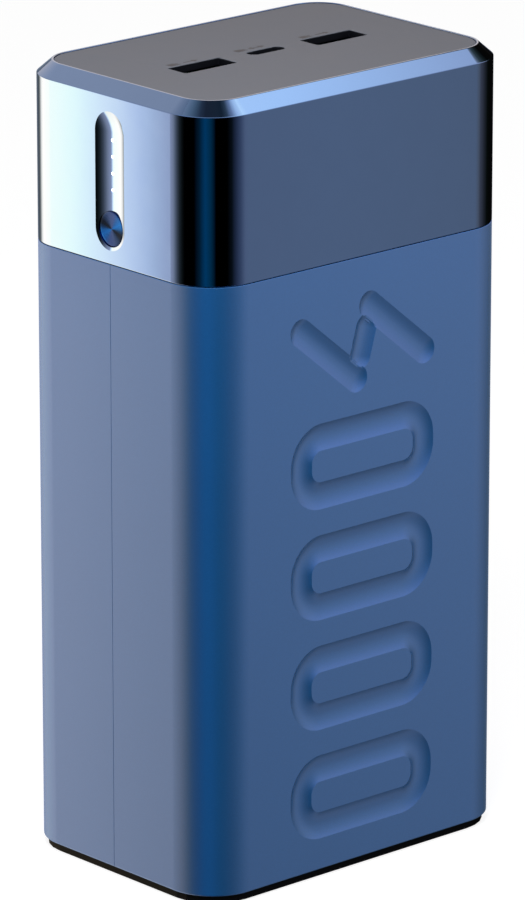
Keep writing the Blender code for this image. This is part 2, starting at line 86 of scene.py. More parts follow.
Colour = tuple[float, float, float]
MM = 0.001
LOG = logging.getLogger("power_bank")
SHARP_ANGLE = 14.0  # degrees between faces past which an edge stays crisp
WELD = 2e-7  # points this close, in metres, are one
ARC_STEP = math.radians(12)  # most that a rounding turns from one face to the next
SHOULDER = 0.08  # distance of the loop that keeps a flat face flat beside a rounding
GLOWING_LENGTH = 1.0  # of the light guide's tips


def cad_box(node: str) -> tuple[Array, Array]:
    """Gives a CAD node's lowest and highest corner in millimetres.

    Args:
        node: The node's name.

    Returns:
        The two corners as arrays of three.
    """
    low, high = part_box(node)
    return np.array(low) / MM, np.array(high) / MM


# Meshes -------------------------------------------------------------------------------
@dataclass
class Surface:
    """Points in millimetres and the faces between them, gathered patch by patch."""

    points: Array = field(default_factory=lambda: np.zeros((0, 3)))
    quads: Array = field(default_factory=lambda: np.zeros((0, 4), int))
    triangles: Array = field(default_factory=lambda: np.zeros((0, 3), int))
    polygons: list[list[int]] = field(default_factory=list)

    def add(self, other: "Surface") -> "Surface":
        """Appends another surface's points and faces.

        Args:
            other: The surface to append.

        Returns:
            This surface.
        """
        start = len(self.points)
        self.points = np.concatenate([self.points, other.points])
        self.quads = np.concatenate([self.quads, other.quads + start])
        self.triangles = np.concatenate([self.triangles, other.triangles + start])
        self.polygons += [[i + start for i in p] for p in other.polygons]
        return self

    def flipped(self) -> "Surface":
        """Gives the same surface facing the other way."""
        return Surface(
            self.points, self.quads[:, ::-1], self.triangles[:, ::-1], [p[::-1] for p in self.polygons]
        )

    def mapped(self, rule: Callable[[Array], Array]) -> "Surface":
        """Gives the surface with every point passed through a rule on the whole array."""
        return Surface(rule(self.points), self.quads, self.triangles, self.polygons)

    def open_at(self, place: Sequence[float]) -> Array:
        """Takes out the quad whose middle lies nearest a place.

        Args:
            place: The place.

        Returns:
            The four corners of the opening.
        """
        middles = self.points[self.quads].mean(1)
        nearest = np.linalg.norm(middles - np.asarray(place, float), axis=1).argmin()
        corners = self.points[self.quads[nearest]]
        self.quads = np.delete(self.quads, nearest, 0)
        return corners

    def build(self, name: str, finish: "Finish", sharp: float = SHARP_ANGLE) -> bpy.types.Object:
        """Makes a Blender object of the surface, with doubles welded and smooth shading.

        Args:
            name: The object's name.
            finish: The finish that it wears.
            sharp: The angle in degrees past which an edge stays crisp.

        Returns:
            The new object, at the origin.
        """
        rows = [*self.quads.tolist(), *self.triangles.tolist(), *self.polygons]
        mesh = bpy.data.meshes.new(name)
        mesh.from_pydata((self.points * MM).tolist(), [], rows)
        edit = bmesh.new()
        edit.from_mesh(mesh)
        bmesh.ops.remove_doubles(edit, verts=edit.verts, dist=WELD)
        bmesh.ops.dissolve_degenerate(edit, edges=edit.edges, dist=WELD)
        loose = [v for v in edit.verts if not v.link_faces]
        bmesh.ops.delete(edit, geom=loose, context="VERTS")
        edit.to_mesh(mesh)
        edit.free()
        mesh.shade_smooth()
        mesh.set_sharp_from_angle(angle=math.radians(sharp))
        mesh.materials.append(finish.material())
        obj = bpy.data.objects.new(name, mesh)
        bpy.context.scene.collection.objects.link(obj)
        return obj


def grid_faces(rows: int, columns: int, close_rows: bool, close_columns: bool) -> Array:
    """Quads of a grid of points numbered row by row.

    Args:
        rows: How many rows of points.
        columns: How many points in a row.
        close_rows: Whether the last row joins the first.
        close_columns: Whether the last column joins the first.

    Returns:
        The quads' point numbers, four to a row.
    """
    i = np.arange(rows if close_rows else rows - 1)[:, None]
    j = np.arange(columns if close_columns else columns - 1)[None, :]
    i2, j2 = (i + 1) % rows, (j + 1) % columns
    corners = [i * columns + j, i2 * columns + j, i2 * columns + j2, i * columns + j2]
    return np.stack([np.broadcast_to(c, (i.size, j.size)) for c in corners], -1).reshape(-1, 4)


def spaced(start: float, end: float, step: float) -> Array:
    """Even stops from start to end, no further apart than step."""
    return np.linspace(start, end, max(2, math.ceil(abs(end - start) / step) + 1))


@dataclass(frozen=True)
class Path:
    """A path in the plane: its points, and at each the unit vector that points out of the shape."""

    points: Array
    outward: Array

    def inset(self, distance: float) -> Array:
        """Points of the parallel curve this far inside."""
        return self.points - distance * self.outward


@dataclass(frozen=True)
class RoundedRectangle:
    """A rectangle with round corners, as an outline in the plane."""

    half_x: float
    half_y: float
    radius: float
    centre: tuple[float, float] = (0.0, 0.0)

    def straight(self, side: int, stops: Array) -> Path:
        """A straight side, walked anticlockwise.

        Args:
            side: 0 for +X, 1 for +Y, 2 for -X and 3 for -Y.
            stops: Places along the side, in the walking direction.

        Returns:
            The stretch of path.
        """
        angle = side * math.pi / 2
        out = np.array([math.cos(angle), math.sin(angle)])
        along = np.array([-out[1], out[0]])
        reach = self.half_x if side % 2 == 0 else self.half_y
        points = np.asarray(self.centre) + reach * out + np.asarray(stops, float)[:, None] * along
        return Path(points, np.broadcast_to(out, points.shape).copy())

    def corner(self, after: int, steps: int) -> Path:
        """The arc that follows a side: centre plus radius times (cos, sin) of an even run of angles.

        Args:
            after: The side before the corner.
            steps: How many chords the arc has.

        Returns:
            The arc without its two ends, which belong to the sides.
        """
        angles = after * math.pi / 2 + np.linspace(0, math.pi / 2, steps + 1)[1:-1]
        out = np.stack([np.cos(angles), np.sin(angles)], -1)
        sign = np.sign(out.sum(0))
        middle = np.asarray(self.centre) + sign * (np.array([self.half_x, self.half_y]) - self.radius)
        return Path(middle + self.radius * out, out)

    def flat(self, side: int) -> float:
        """Half of the straight length of a side."""
        return (self.half_y if side % 2 == 0 else self.half_x) - self.radius

    def stops(self, side: int) -> Array:
        """The ends of a side's straight and a shoulder beside each."""
        end = self.flat(side)
        shoulder = min(SHOULDER, end / 4)
        return np.array([-end, shoulder - end, end - shoulder, end])

    def closed(self, steps: int, first: int = 0) -> Path:
        """The whole outline, starting with a side.

        Args:
            steps: Chords in each corner.
            first: The side to start with.

        Returns:
            The outline, whose last point joins its first.
        """
        runs = []
        for side in range(first, first + 4):
            runs += [self.straight(side % 4, self.stops(side)), self.corner(side % 4, steps)]
        return joined(runs)


def joined(runs: Sequence[Path]) -> Path:
    """Puts stretches of path one after the other."""
    return Path(np.concatenate([r.points for r in runs]), np.concatenate([r.outward for r in runs]))


def circle(radius: float, centre: Sequence[float], steps: int) -> Path:
    """A circle: centre plus radius times (cos, sin) of an even run of angles."""
    angles = np.arange(steps) * 2 * math.pi / steps
    out = np.stack([np.cos(angles), np.sin(angles)], -1)
    return Path(np.asarray(centre, float) + radius * out, out)


def stadium(radius: float, centre: Sequence[float], half: float, steps: int) -> Path:
    """An upright slot: two half circles, whose centres lie half above and below the slot's centre."""
    angles = np.linspace(0, math.pi, steps + 1)
    upper = np.stack([np.cos(angles), np.sin(angles)], -1)
    out = np.concatenate([upper, -upper])
    lift = np.repeat([half, -half], steps + 1)
    return Path(np.asarray(centre, float) + radius * out + np.stack([lift * 0, lift], -1), out)


@dataclass(frozen=True)
class Profile:
    """A closed profile of (inset, height) points, each with a rounding, to be carried along a path."""

    corners: tuple[tuple[float, float, float], ...]
    cyclic: bool = True

    def points(self) -> Array:
        """Rounds every corner by an arc tangent to its two sides, with a shoulder beyond each tangent.

        Returns:
            The profile's points in order.
        """
        found = []
        count = len(self.corners)
        for k, (x, z, rounding) in enumerate(self.corners):
            here = np.array([x, z])
            if rounding <= 0 or (not self.cyclic and k in (0, count - 1)):
                found.append(here[None])
                continue
            before = np.array(self.corners[k - 1][:2]) - here
            after = np.array(self.corners[(k + 1) % count][:2]) - here
            a, b = before / np.linalg.norm(before), after / np.linalg.norm(after)
            half_angle = math.acos(np.clip(a @ b, -1, 1)) / 2
            tangent = rounding / math.tan(half_angle)
            centre = here + (a + b) / np.linalg.norm(a + b) * rounding / math.sin(half_angle)
            start, end = here + a * tangent - centre, here + b * tangent - centre
            turn = math.atan2(start[0] * end[1] - start[1] * end[0], start @ end)
            chords = max(2, math.ceil(abs(turn) / ARC_STEP))
            angles = math.atan2(start[1], start[0]) + np.linspace(0, turn, chords + 1)
            arc = centre + rounding * np.stack([np.cos(angles), np.sin(angles)], -1)
            shoulder = min(SHOULDER, rounding / 2)
            found.append(np.concatenate([[arc[0] + a * shoulder], arc, [arc[-1] + b * shoulder]]))
        return np.concatenate(found)


def swept(path: Path, profile: Array, closed_path: bool = True, closed_profile: bool = True) -> Surface:
    """Carries a profile along a path: path point minus inset times outward, at the profile's height.

    Args:
        path: The path, anticlockwise seen from above.
        profile: The (inset, height) points, running up on the outside.
        closed_path: Whether the path's end joins its start.
        closed_profile: Whether the profile's end joins its start.

    Returns:
        The surface, whose ends are capped with a polygon where only the profile is closed.
    """
    xy = path.points[:, None] - profile[None, :, :1] * path.outward[:, None]
    z = np.broadcast_to(profile[None, :, 1:], (*xy.shape[:2], 1))
    points = np.concatenate([xy, z], -1).reshape(-1, 3)
    rows, columns = len(path.points), len(profile)
    made = Surface(points, grid_faces(rows, columns, closed_path, closed_profile))
    if closed_profile and not closed_path:
        last = (rows - 1) * columns
        made.polygons = [list(range(columns)), [last + c for c in range(columns - 1, -1, -1)]]
    return made


def turned(profile: Array, steps: int, centre: Sequence[float]) -> Surface:
    """Turns a profile of (radius, height) about -X: (-height, radius sin t, radius cos t).

    Args:
        profile: Points from the axis at the back to the axis in front, anticlockwise round the solid.
        steps: How many facets round the axis.
        centre: Where the axis has height 0.

    Returns:
        The closed surface.
    """
    angles = np.arange(steps) * 2 * math.pi / steps
    radius = profile[None, :, 0]
    across = radius * np.cos(angles)[:, None]
    along = np.broadcast_to(profile[None, :, 1], across.shape)
    points = np.stack([-along, radius * np.sin(angles)[:, None], across], -1).reshape(-1, 3)
    return Surface(points + np.asarray(centre, float), grid_faces(steps, len(profile), True, False))


def triangulated(
    loops: Sequence[Array], inner: Array | None = None, keep: Callable[[Array], Array] | None = None
) -> tuple[Array, Array]:
    """Triangulates a convex region so that every loop's edges stay edges.

    Args:
        loops: Closed loops of points in the plane, the outer one first.
        inner: Loose points inside.
        keep: Says of an array of places which lie on the material, or None for all.

    Returns:
        The points and the triangles, anticlockwise.
    """
    points = np.concatenate([*loops, np.zeros((0, 2)) if inner is None else inner])
    edges, start = [], 0
    for loop in loops:
        numbers = np.arange(start, start + len(loop))
        edges += np.column_stack([numbers, np.roll(numbers, -1)]).tolist()
        start += len(loop)
    found = delaunay_2d_cdt([Vector(p) for p in points.tolist()], edges, [], 0, 1e-6)
    flat = np.array([tuple(p) for p in found[0]], float)
    faces = np.array([f for f in found[2] if len(f) == 3], int)
    a, b, c = flat[faces[:, 0]], flat[faces[:, 1]], flat[faces[:, 2]]
    side = (b - a)[:, 0] * (c - a)[:, 1] - (b - a)[:, 1] * (c - a)[:, 0]
    faces[side < 0] = faces[side < 0][:, ::-1]
    kept = np.abs(side) > 1e-9
    return flat, faces[kept & keep((a + b + c) / 3)] if keep else faces[kept]


# Shader nodes -------------------------------------------------------------------------
@dataclass(frozen=True)
class Link:
    """An output socket whose operators add the Math nodes they stand for."""

    kit: "NodeKit"
    socket: bpy.types.NodeSocket

    def __add__(self, other: "Link | float") -> "Link":
        """Adds."""
        return self.kit.math("ADD", self, other)

    __radd__ = __add__

    def __sub__(self, other: "Link | float") -> "Link":
        """Subtracts a value."""
        return self.kit.math("SUBTRACT", self, other)

    def __rsub__(self, other: float) -> "Link":
        """Subtracts this from a number."""
        return self.kit.math("SUBTRACT", other, self)

    def __mul__(self, other: "Link | float") -> "Link":
        """Multiplies."""
        return self.kit.math("MULTIPLY", self, other)

    __rmul__ = __mul__

    def __truediv__(self, other: "Link | float") -> "Link":
        """Divides by a value."""
        return self.kit.math("DIVIDE", self, other)

    def __lt__(self, other: "Link | float") -> "Link":
        """1 where this is below the other, and 0 elsewhere."""
        return self.kit.math("LESS_THAN", self, other)

    def __gt__(self, other: "Link | float") -> "Link":
        """1 where this is above the other, and 0 elsewhere."""
        return self.kit.math("GREATER_THAN", self, other)


@dataclass
class NodeKit:
    """Adds nodes to one material's tree."""

    tree: bpy.types.NodeTree

    def add(
        self, kind: str, settings: dict | None = None, inputs: dict | None = None
    ) -> bpy.types.Node:
        """Adds a node.

        Args:
            kind: The node's type, such as "ShaderNodeMath".
            settings: Its properties, set before its inputs. "stops" are a ramp's (place, colour) pairs.
            inputs: Socket name or number to a value or a Link.

        Returns:
            The node.
        """
        node = self.tree.nodes.new(kind)
        for key, value in (settings or {}).items():
            if key == "stops":
                ramp = node.color_ramp
                while len(ramp.elements) < len(value):
                    ramp.elements.new(0.5)
                for element, (place, colour) in zip(ramp.elements, value):
                    element.position, element.color = place, (*colour, 1.0)
            else:
                setattr(node, key, value)
        for key, value in (inputs or {}).items():
            if isinstance(value, Link):
                self.tree.links.new(value.socket, node.inputs[key])
            else:
                node.inputs[key].default_value = value
        return node

    def math(self, operation: str, *values: "Link | float") -> Link:
        """Adds a Math node.

        Args:
            operation: The node's operation.
            values: Its inputs in order.

        Returns:
            The result.
        """
        node = self.add("ShaderNodeMath", {"operation": operation}, dict(enumerate(values)))
        return Link(self, node.outputs[0])

    def vector(self, operation: str, *values: "Link | Sequence[float]") -> Link:
        """Adds a Vector Math node."""
        node = self.add("ShaderNodeVectorMath", {"operation": operation}, dict(enumerate(values)))
        return Link(self, node.outputs[0])

    def place(self) -> Link:
        """The point's place in the object's own frame, in metres."""
        return Link(self, self.add("ShaderNodeTexCoord").outputs["Object"])

    def split(self, vector: Link) -> tuple[Link, Link, Link]:
        """A vector's three parts."""
        node = self.add("ShaderNodeSeparateXYZ", None, {0: vector})
        return tuple(Link(self, node.outputs[i]) for i in range(3))

    def noise(
        self,
        scale: float,
        detail: float = 2.0,
        at: Link | None = None,
        stretch: Sequence[float] | None = None,
    ) -> Link:
        """Fractal noise between 0 and 1.

        Args:
            scale: Features to the metre.
            detail: How many octaves.
            at: The place it is read at, or the object's own.
            stretch: Factors on the place along X, Y and Z.

        Returns:
            The noise.
        """
        where = at or self.place()
        if stretch is not None:
            where = self.vector("MULTIPLY", where, stretch)
        node = self.add("ShaderNodeTexNoise", None, {"Vector": where, "Scale": scale, "Detail": detail})
        return Link(self, node.outputs["Fac"])

    def cells(self, scale: float) -> Link:
        """Distance to the nearest of scattered points, so many to the metre."""
        node = self.add("ShaderNodeTexVoronoi", None, {"Vector": self.place(), "Scale": scale})
        return Link(self, node.outputs["Distance"])

    def flakes(self, scale: float) -> Link:
        """A random value for each small cell, so many to the metre."""
        node = self.add("ShaderNodeTexVoronoi", None, {"Vector": self.place(), "Scale": scale})
        return self.split(Link(self, node.outputs["Color"]))[0]

    def mixed(self, first: "Link | Colour", second: "Link | Colour", share: "Link | float") -> Link:
        """Blends two colours.

        Args:
            first: The colour at share 0.
            second: The colour at share 1.
            share: How much of the second.

        Returns:
            The blend.
        """
        values = [v if isinstance(v, Link) else (*v, 1.0) for v in (first, second)]
        node = self.add("ShaderNodeMix", {"data_type": "RGBA"}, {0: share, 6: values[0], 7: values[1]})
        return Link(self, node.outputs[2])

    def ramp(self, value: Link, low: float, high: float) -> Link:
        """A smooth step from 0 to 1 as the value goes from low to high."""
        settings = {"interpolation_type": "SMOOTHSTEP"}
        inputs = {"Value": value, "From Min": low, "From Max": high}
        node = self.add("ShaderNodeMapRange", settings, inputs)
        return Link(self, node.outputs["Result"])

    def bump(self, height: Link, depth: float, strength: float = 1.0) -> Link:
        """Turns a height between 0 and 1 into a normal.

        Args:
            height: The relief.
            depth: What a height of 1 stands for, in metres.
            strength: How much of the tilt is used.

        Returns:
            The normal.
        """
        inputs = {"Strength": strength, "Distance": depth, "Height": height}
        node = self.add("ShaderNodeBump", None, inputs)
        return Link(self, node.outputs["Normal"])


# Finishes -----------------------------------------------------------------------------
@dataclass(frozen=True)
class Finish:
    """A surface finish: the numbers its shader holds, and the pattern its subclass draws."""

    name: str
    slot: str
    colour: Colour
    roughness: float = 0.5
    metallic: float = 0.0
    level: float = 0.5
    ior: float = 1.5
    coat: float = 0.0
    coat_roughness: float = 0.1
    made: ClassVar[dict[str, bpy.types.Material]] = {}

    def material(self) -> bpy.types.Material:
        """Gives the finish's material, made the first time it is asked for."""
        if self.name not in self.made:
            material = bpy.data.materials.new(self.name)
            material.use_nodes = True
            material.diffuse_color = (*self.colour, 1.0)
            kit = NodeKit(material.node_tree)
            shader = material.node_tree.nodes["Principled BSDF"]
            fixed = {
                "Base Color": (*self.colour, 1.0),
                "Roughness": self.roughness,
                "Metallic": self.metallic,
                "Specular IOR Level": self.level,
                "IOR": self.ior,
                "Coat Weight": self.coat,
                "Coat Roughness": self.coat_roughness,
            }
            for socket, value in fixed.items():
                shader.inputs[socket].default_value = value
            for socket, value in self.pattern(kit).items():
                if isinstance(value, Link):
                    kit.tree.links.new(value.socket, shader.inputs[socket])
                else:
                    shader.inputs[socket].default_value = value
            self.made[self.name] = material
        return self.made[self.name]

    def shade(self, factor: float) -> Colour:
        """The finish's colour made lighter or darker."""
        return tuple(min(1.0, c * factor) for c in self.colour)

    def pattern(self, kit: NodeKit) -> dict[str, Link | float]:
        """What varies over the surface, socket by socket.

        Args:
            kit: The material's node kit.

        Returns:
            Shader socket name to its value.
        """
        cloud = kit.noise(220.0, 3.0)
        return {
            "Base Color": kit.mixed(self.shade(0.92), self.shade(1.06), cloud),
            "Roughness": kit.noise(900.0, 2.0) * 0.1 + (self.roughness - 0.05),
        }


@dataclass(frozen=True)
class SatinPaint(Finish):
    """Satin metallic paint: fine flakes, a faint cloudiness and a trace of orange peel."""

    flake_size: float = 0.00016
    peel_depth: float = 0.0000025

    def pattern(self, kit: NodeKit) -> dict[str, Link | float]:
        """Mixes two close blues by flake and cloud, and lifts the peel into the normal.

        Args:
            kit: The material's node kit.

        Returns:
            Shader socket name to its value.
        """
        flake = kit.flakes(1 / self.flake_size)
        cloud = kit.noise(60.0, 2.0)
        colour = kit.mixed(self.shade(0.93), self.shade(1.08), flake * 0.6 + cloud * 0.4)
        return {
            "Base Color": colour,
            "Roughness": kit.noise(1500.0, 2.0) * 0.06 + (self.roughness - 0.03),
            "Normal": kit.bump(kit.noise(2200.0, 2.0), self.peel_depth),
        }


@dataclass(frozen=True)
class MirrorPlating(Finish):
    """Polished plating with the faintest waviness and dust-fine haze."""

    wave_depth: float = 0.000004

    def pattern(self, kit: NodeKit) -> dict[str, Link | float]:
        """Clouds the roughness a little and waves the normal.

        Args:
            kit: The material's node kit.

        Returns:
            Shader socket name to its value.
        """
        haze = kit.noise(180.0, 4.0)
        return {
            "Base Color": kit.mixed(self.shade(0.97), self.shade(1.02), haze),
            "Roughness": kit.ramp(haze, 0.35, 0.75) * 0.03 + (self.roughness - 0.01),
            "Normal": kit.bump(kit.noise(140.0, 1.0), self.wave_depth),
        }


@dataclass(frozen=True)
class SpunMetal(Finish):
    """A turned face: fine rings round an axis along X, and the sheen such rings show, painted into the
    colour as a highlight in two opposite wedges.

    The painted highlight is a ramp over half a turn, from 0 at -Y, upwards.
    """

    axis_z: float = 0.0
    pitch: float = 0.00012
    groove_depth: float = 0.000004
    streak_tone: Colour = (0.03, 0.05, 0.1)
    # painted highlight: the spun face's bright and dark wedges, given as colour by angle
    painted_sheen_sectors: tuple[tuple[float, Colour], ...] = (
        (0.0, (0.003, 0.04, 0.16)),
        (0.07, (0.006, 0.12, 0.5)),
        (0.16, (0.008, 0.16, 0.66)),
        (0.3, (0.016, 0.11, 0.44)),
        (0.42, (0.05, 0.095, 0.32)),
        (0.58, (0.05, 0.09, 0.27)),
        (0.74, (0.014, 0.04, 0.13)),
        (0.83, (0.002, 0.008, 0.03)),
        (0.92, (0.001, 0.006, 0.02)),
        (1.0, (0.003, 0.04, 0.16)),
    )

    def pattern(self, kit: NodeKit) -> dict[str, Link | float]:
        """Draws rings from the distance to the axis, and paints the sheen's highlight into the colour
        by the angle round it.

        Args:
            kit: The material's node kit.

        Returns:
            Shader socket name to its value.
        """
        _, y, z = kit.split(kit.place())
        rise = z - self.axis_z
        radius = kit.math("SQRT", y * y + rise * rise)
        spun = Link(kit, kit.add("ShaderNodeCombineXYZ", None, {"X": radius}).outputs[0])
        tone = kit.noise(14000.0, 3.0, at=spun)
        turn = kit.math("FRACT", kit.math("ARCTAN2", rise, y * -1.0) / math.pi + 1.0)
        # painted highlight: the sheen's wedges set in the colour by the angle round the axis
        ramp = kit.add("ShaderNodeValToRGB", {"stops": self.painted_sheen_sectors}, {0: turn})
        rings = kit.math("SINE", radius * (2 * math.pi / self.pitch))
        return {
            "Base Color": kit.mixed(Link(kit, ramp.outputs[0]), self.streak_tone, tone * 0.2),
            "Roughness": tone * 0.1 + (self.roughness - 0.05),
            "Normal": kit.bump(rings * 0.5 + 0.5, self.groove_depth, 0.5),
        }


@dataclass(frozen=True)
class GrainedMoulding(Finish):
    """A spark-eroded moulded surface: fine matt grain with a slight mottle."""

    grain: float = 0.00022
    grain_depth: float = 0.000006

    def pattern(self, kit: NodeKit) -> dict[str, Link | float]:
        """Grain in the normal, mottle in the colour and roughness.

        Args:
            kit: The material's node kit.

        Returns:
            Shader socket name to its value.
        """
        grain = kit.noise(1 / self.grain, 3.0)
        mottle = kit.noise(150.0, 3.0)
        return {
            "Base Color": kit.mixed(self.shade(0.9), self.shade(1.1), grain * 0.5 + mottle * 0.5),
            "Roughness": mottle * 0.1 + (self.roughness - 0.05),
            "Normal": kit.bump(grain, self.grain_depth),
        }


@dataclass(frozen=True)
class PanelMoulding(GrainedMoulding):
    """The matt panel: grained on its face, with painted shade that turns the walls of its windows
    black.
    """

    top: float = 0.0
    # painted shade: the windows' walls go black with depth below the face
    painted_shade_tone: Colour = (0.004, 0.004, 0.006)
    painted_shade_starts: float = 0.00006
    painted_shade_full: float = 0.00018

    def pattern(self, kit: NodeKit) -> dict[str, Link | float]:
        """Takes the grained pattern and paints shade that turns it black below the face, down the
        windows' walls.

        Args:
            kit: The material's node kit.

        Returns:
            Shader socket name to its value.
        """
        made = super().pattern(kit)
        height = kit.split(kit.place())[2]
        # painted shade, darker with depth down the windows' walls
        below = kit.ramp(height, self.top - self.painted_shade_starts, self.top - self.painted_shade_full)
        return {**made, "Base Color": kit.mixed(made["Base Color"], self.painted_shade_tone, below)}


@dataclass(frozen=True)
class BrushedSteel(Finish):
    """Drawn sheet metal: long scratches along one direction."""

    along: tuple[float, float, float] = (1.0, 1.0, 0.04)
    scratch_depth: float = 0.000003

    def pattern(self, kit: NodeKit) -> dict[str, Link | float]:
        """Stretches noise along the drawing direction.

        Args:
            kit: The material's node kit.

        Returns:
            Shader socket name to its value.
        """
        lines = kit.noise(9000.0, 2.0, stretch=self.along)
        return {
            "Base Color": kit.mixed(self.shade(0.82), self.shade(1.05), lines),
            "Roughness": lines * 0.18 + (self.roughness - 0.08),
            "Normal": kit.bump(lines, self.scratch_depth),
        }


@dataclass(frozen=True)
class PouchFoil(Finish):
    """Laminated foil round a cell: soft creases and a dull sheen."""

    crease_depth: float = 0.00035

    def pattern(self, kit: NodeKit) -> dict[str, Link | float]:
        """Creases from two scales of noise.

        Args:
            kit: The material's node kit.

        Returns:
            Shader socket name to its value.
        """
        crease = kit.noise(90.0, 5.0)
        fine = kit.noise(1200.0, 2.0)
        return {
            "Base Color": kit.mixed(self.shade(0.85), self.shade(1.05), crease),
            "Roughness": fine * 0.12 + crease * 0.1 + (self.roughness - 0.11),
            "Normal": kit.bump(crease, self.crease_depth),
        }


@dataclass(frozen=True)
class BoardMask(Finish):
    """Solder mask over copper: raised tracks on a grid, and vias."""

    track_pitch: float = 0.0009
    track_depth: float = 0.00003
    via_tone: Colour = (0.75, 0.62, 0.33)

    def pattern(self, kit: NodeKit) -> dict[str, Link | float]:
        """Draws tracks where two square waves of the place cross a noise mask.

        Args:
            kit: The material's node kit.

        Returns:
            Shader socket name to its value.
        """
        x, _, z = kit.split(kit.place())
        run = 2 * math.pi / self.track_pitch
        mask = kit.noise(260.0, 0.0) > 0.5
        across = kit.math("SINE", x * run) > 0.55
        upward = kit.math("SINE", z * run) > 0.55
        tracks = across * mask + upward * (1 - mask)
        vias = kit.cells(420.0) < 0.16
        metal = kit.mixed(self.colour, self.shade(1.9), tracks)
        return {
            "Base Color": kit.mixed(metal, self.via_tone, vias),
            "Metallic": vias * 0.9,
            "Roughness": self.roughness - tracks * 0.08,
            "Normal": kit.bump(tracks, self.track_depth),
        }


@dataclass(frozen=True)
class GlowingTip(Finish):
    """Clear plastic that glows at its outer end, past a plane square to X."""

    end_x: float = 0.0
    glow: float = 1.0
    fade: float = 0.0006

    def pattern(self, kit: NodeKit) -> dict[str, Link | float]:
        """Lights what lies past the plane.

        Args:
            kit: The material's node kit.

        Returns:
            Shader socket name to its value.
        """
        x, _, _ = kit.split(kit.place())
        tip = kit.ramp(x, self.end_x, self.end_x - self.fade)
        return {
            "Base Color": kit.mixed(self.shade(0.9), self.colour, kit.noise(700.0)),
            "Emission Color": kit.mixed((0.0, 0.0, 0.0), (1.0, 1.0, 1.0), tip),
            "Emission Strength": self.glow,
        }


class Finishes:
    """Every finish on the object."""

    def __init__(self, button_z: float, tip_x: float, panel_top: float) -> None:
        """Sets the finishes up.

        Args:
            button_z: The Z of the button's axis in metres.
            tip_x: Where the light guide's tips start to glow, in metres.
            panel_top: The height of the panel's face in metres.
        """
        blue, silver, along_y = (0.0037, 0.0734, 0.215), (0.55, 0.55, 0.57), (1, 0.04, 1)
        self.satin = SatinPaint("satin_blue_paint", "satin_case", blue, 0.22, ior=1.9)
        self.mirror = MirrorPlating(
            "mirror_blue_plating", "polished_cap", (0.50, 0.66, 0.98), 0.06, 1.0
        )
        # the button face's colour carries a painted highlight in wedges
        self.spun = SpunMetal(
            "spun_blue_face_painted_sheen", "button_face", (0.013, 0.1, 0.4), 0.24, 1.0, axis_z=button_z
        )
        self.panel = PanelMoulding(
            "matt_grey_panel", "panel_grey", (0.139, 0.15, 0.182), 0.55, top=panel_top
        )
        self.ink = GrainedMoulding("dark_grey_print", "panel_grey", (0.06, 0.062, 0.075))
        self.black = GrainedMoulding(
            "black_moulding", "base_black", (0.005, 0.005, 0.006), 0.6, level=0.12
        )
        self.rubber = GrainedMoulding(
            "black_rubber", "pad_rubber", (0.014, 0.014, 0.014), 0.85, grain=0.0005
        )
        # painted shade: the sockets' steel is nearly black so that the windows stay dark inside
        self.socket = BrushedSteel("socket_steel", "socket_steel", (0.05, 0.05, 0.055), 0.4, 1.0)
        self.screw = BrushedSteel("screw_steel", "screw_steel", silver, 0.3, 1.0)
        self.switch = BrushedSteel("switch_steel", "switch_steel", (0.58, 0.58, 0.6), 0.3, 1.0)
        self.nickel = BrushedSteel(
            "nickel_strip", "busbar_nickel", (0.62, 0.6, 0.55), 0.28, 1.0, along=along_y
        )
        self.can = BrushedSteel(
            "capacitor_can", "can_aluminium", (0.62, 0.62, 0.64), 0.25, 1.0, along=along_y
        )
        self.tongue = GrainedMoulding("socket_tongue", "tongue_plastic", (0.01, 0.01, 0.012))
        self.gold = BrushedSteel("gold_contact", "contact_gold", (0.83, 0.6, 0.22), 0.22, 1.0)
        self.guide = GlowingTip(
            "clear_guide", "clear_guide", (0.85, 0.9, 0.95), 0.12, end_x=tip_x, glow=1.6
        )
        self.led = Finish("led_package", "led_white", (0.9, 0.88, 0.72), 0.4)
        self.board = BoardMask("board_green", "board_green", (0.012, 0.13, 0.05), 0.35, coat=0.3)
        self.chip = GrainedMoulding("chip_black", "chip_black", (0.02, 0.02, 0.022), 0.45)
        self.ferrite = GrainedMoulding("moulded_ferrite", "ferrite_grey", (0.06, 0.06, 0.065), 0.7)
        self.foil = PouchFoil("pouch_foil", "cell_foil", (0.7, 0.71, 0.73), 0.36, 0.9)
        self.foam = GrainedMoulding(
            "closed_cell_foam", "foam_grey", (0.1, 0.1, 0.11), 0.95, grain=0.0006, grain_depth=0.00008
        )
        self.red = Finish("lead_red", "lead_red", (0.5, 0.018, 0.015), 0.42)
        self.dark = Finish("lead_black", "lead_black", (0.018, 0.018, 0.02), 0.42)



# Parts --------------------------------------------------------------------------------
def settle(piece: bpy.types.Object, body: str, finish: Finish, *nodes: str) -> bpy.types.Object:
    """Makes a piece ride on its body and stand for its CAD nodes.

    Args:
        piece: The finished piece.
        body: The CAD body it rides on.
        finish: Not used.
        nodes: The CAD nodes that it replaces.

    Returns:
        The piece.
    """
    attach(piece, body)
    if nodes:
        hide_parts(*nodes)
    LOG.info("%s: %d faces, on %s", piece.name, len(piece.data.polygons), body)
    return piece


def scoop_depth(distance: Array, half_width: float, depth: float) -> Array:
    """Depth of a scoop with a round section: the circle through both lips and the lowest point.

    The circle's radius is (half_width squared + depth squared) / (2 depth), and the depth at a
    distance from the middle is sqrt(radius squared - distance squared) - (radius - depth).

    Args:
        distance: Distances from the scoop's middle line.
        half_width: Half of the scoop's width at the face.
        depth: Its depth in the middle.

    Returns:
        The depths, 0 beyond the lips.
    """
    radius = (half_width**2 + depth**2) / (2 * depth)
    inside = np.minimum(distance, half_width)
    return np.sqrt(radius**2 - inside**2) - (radius - depth)


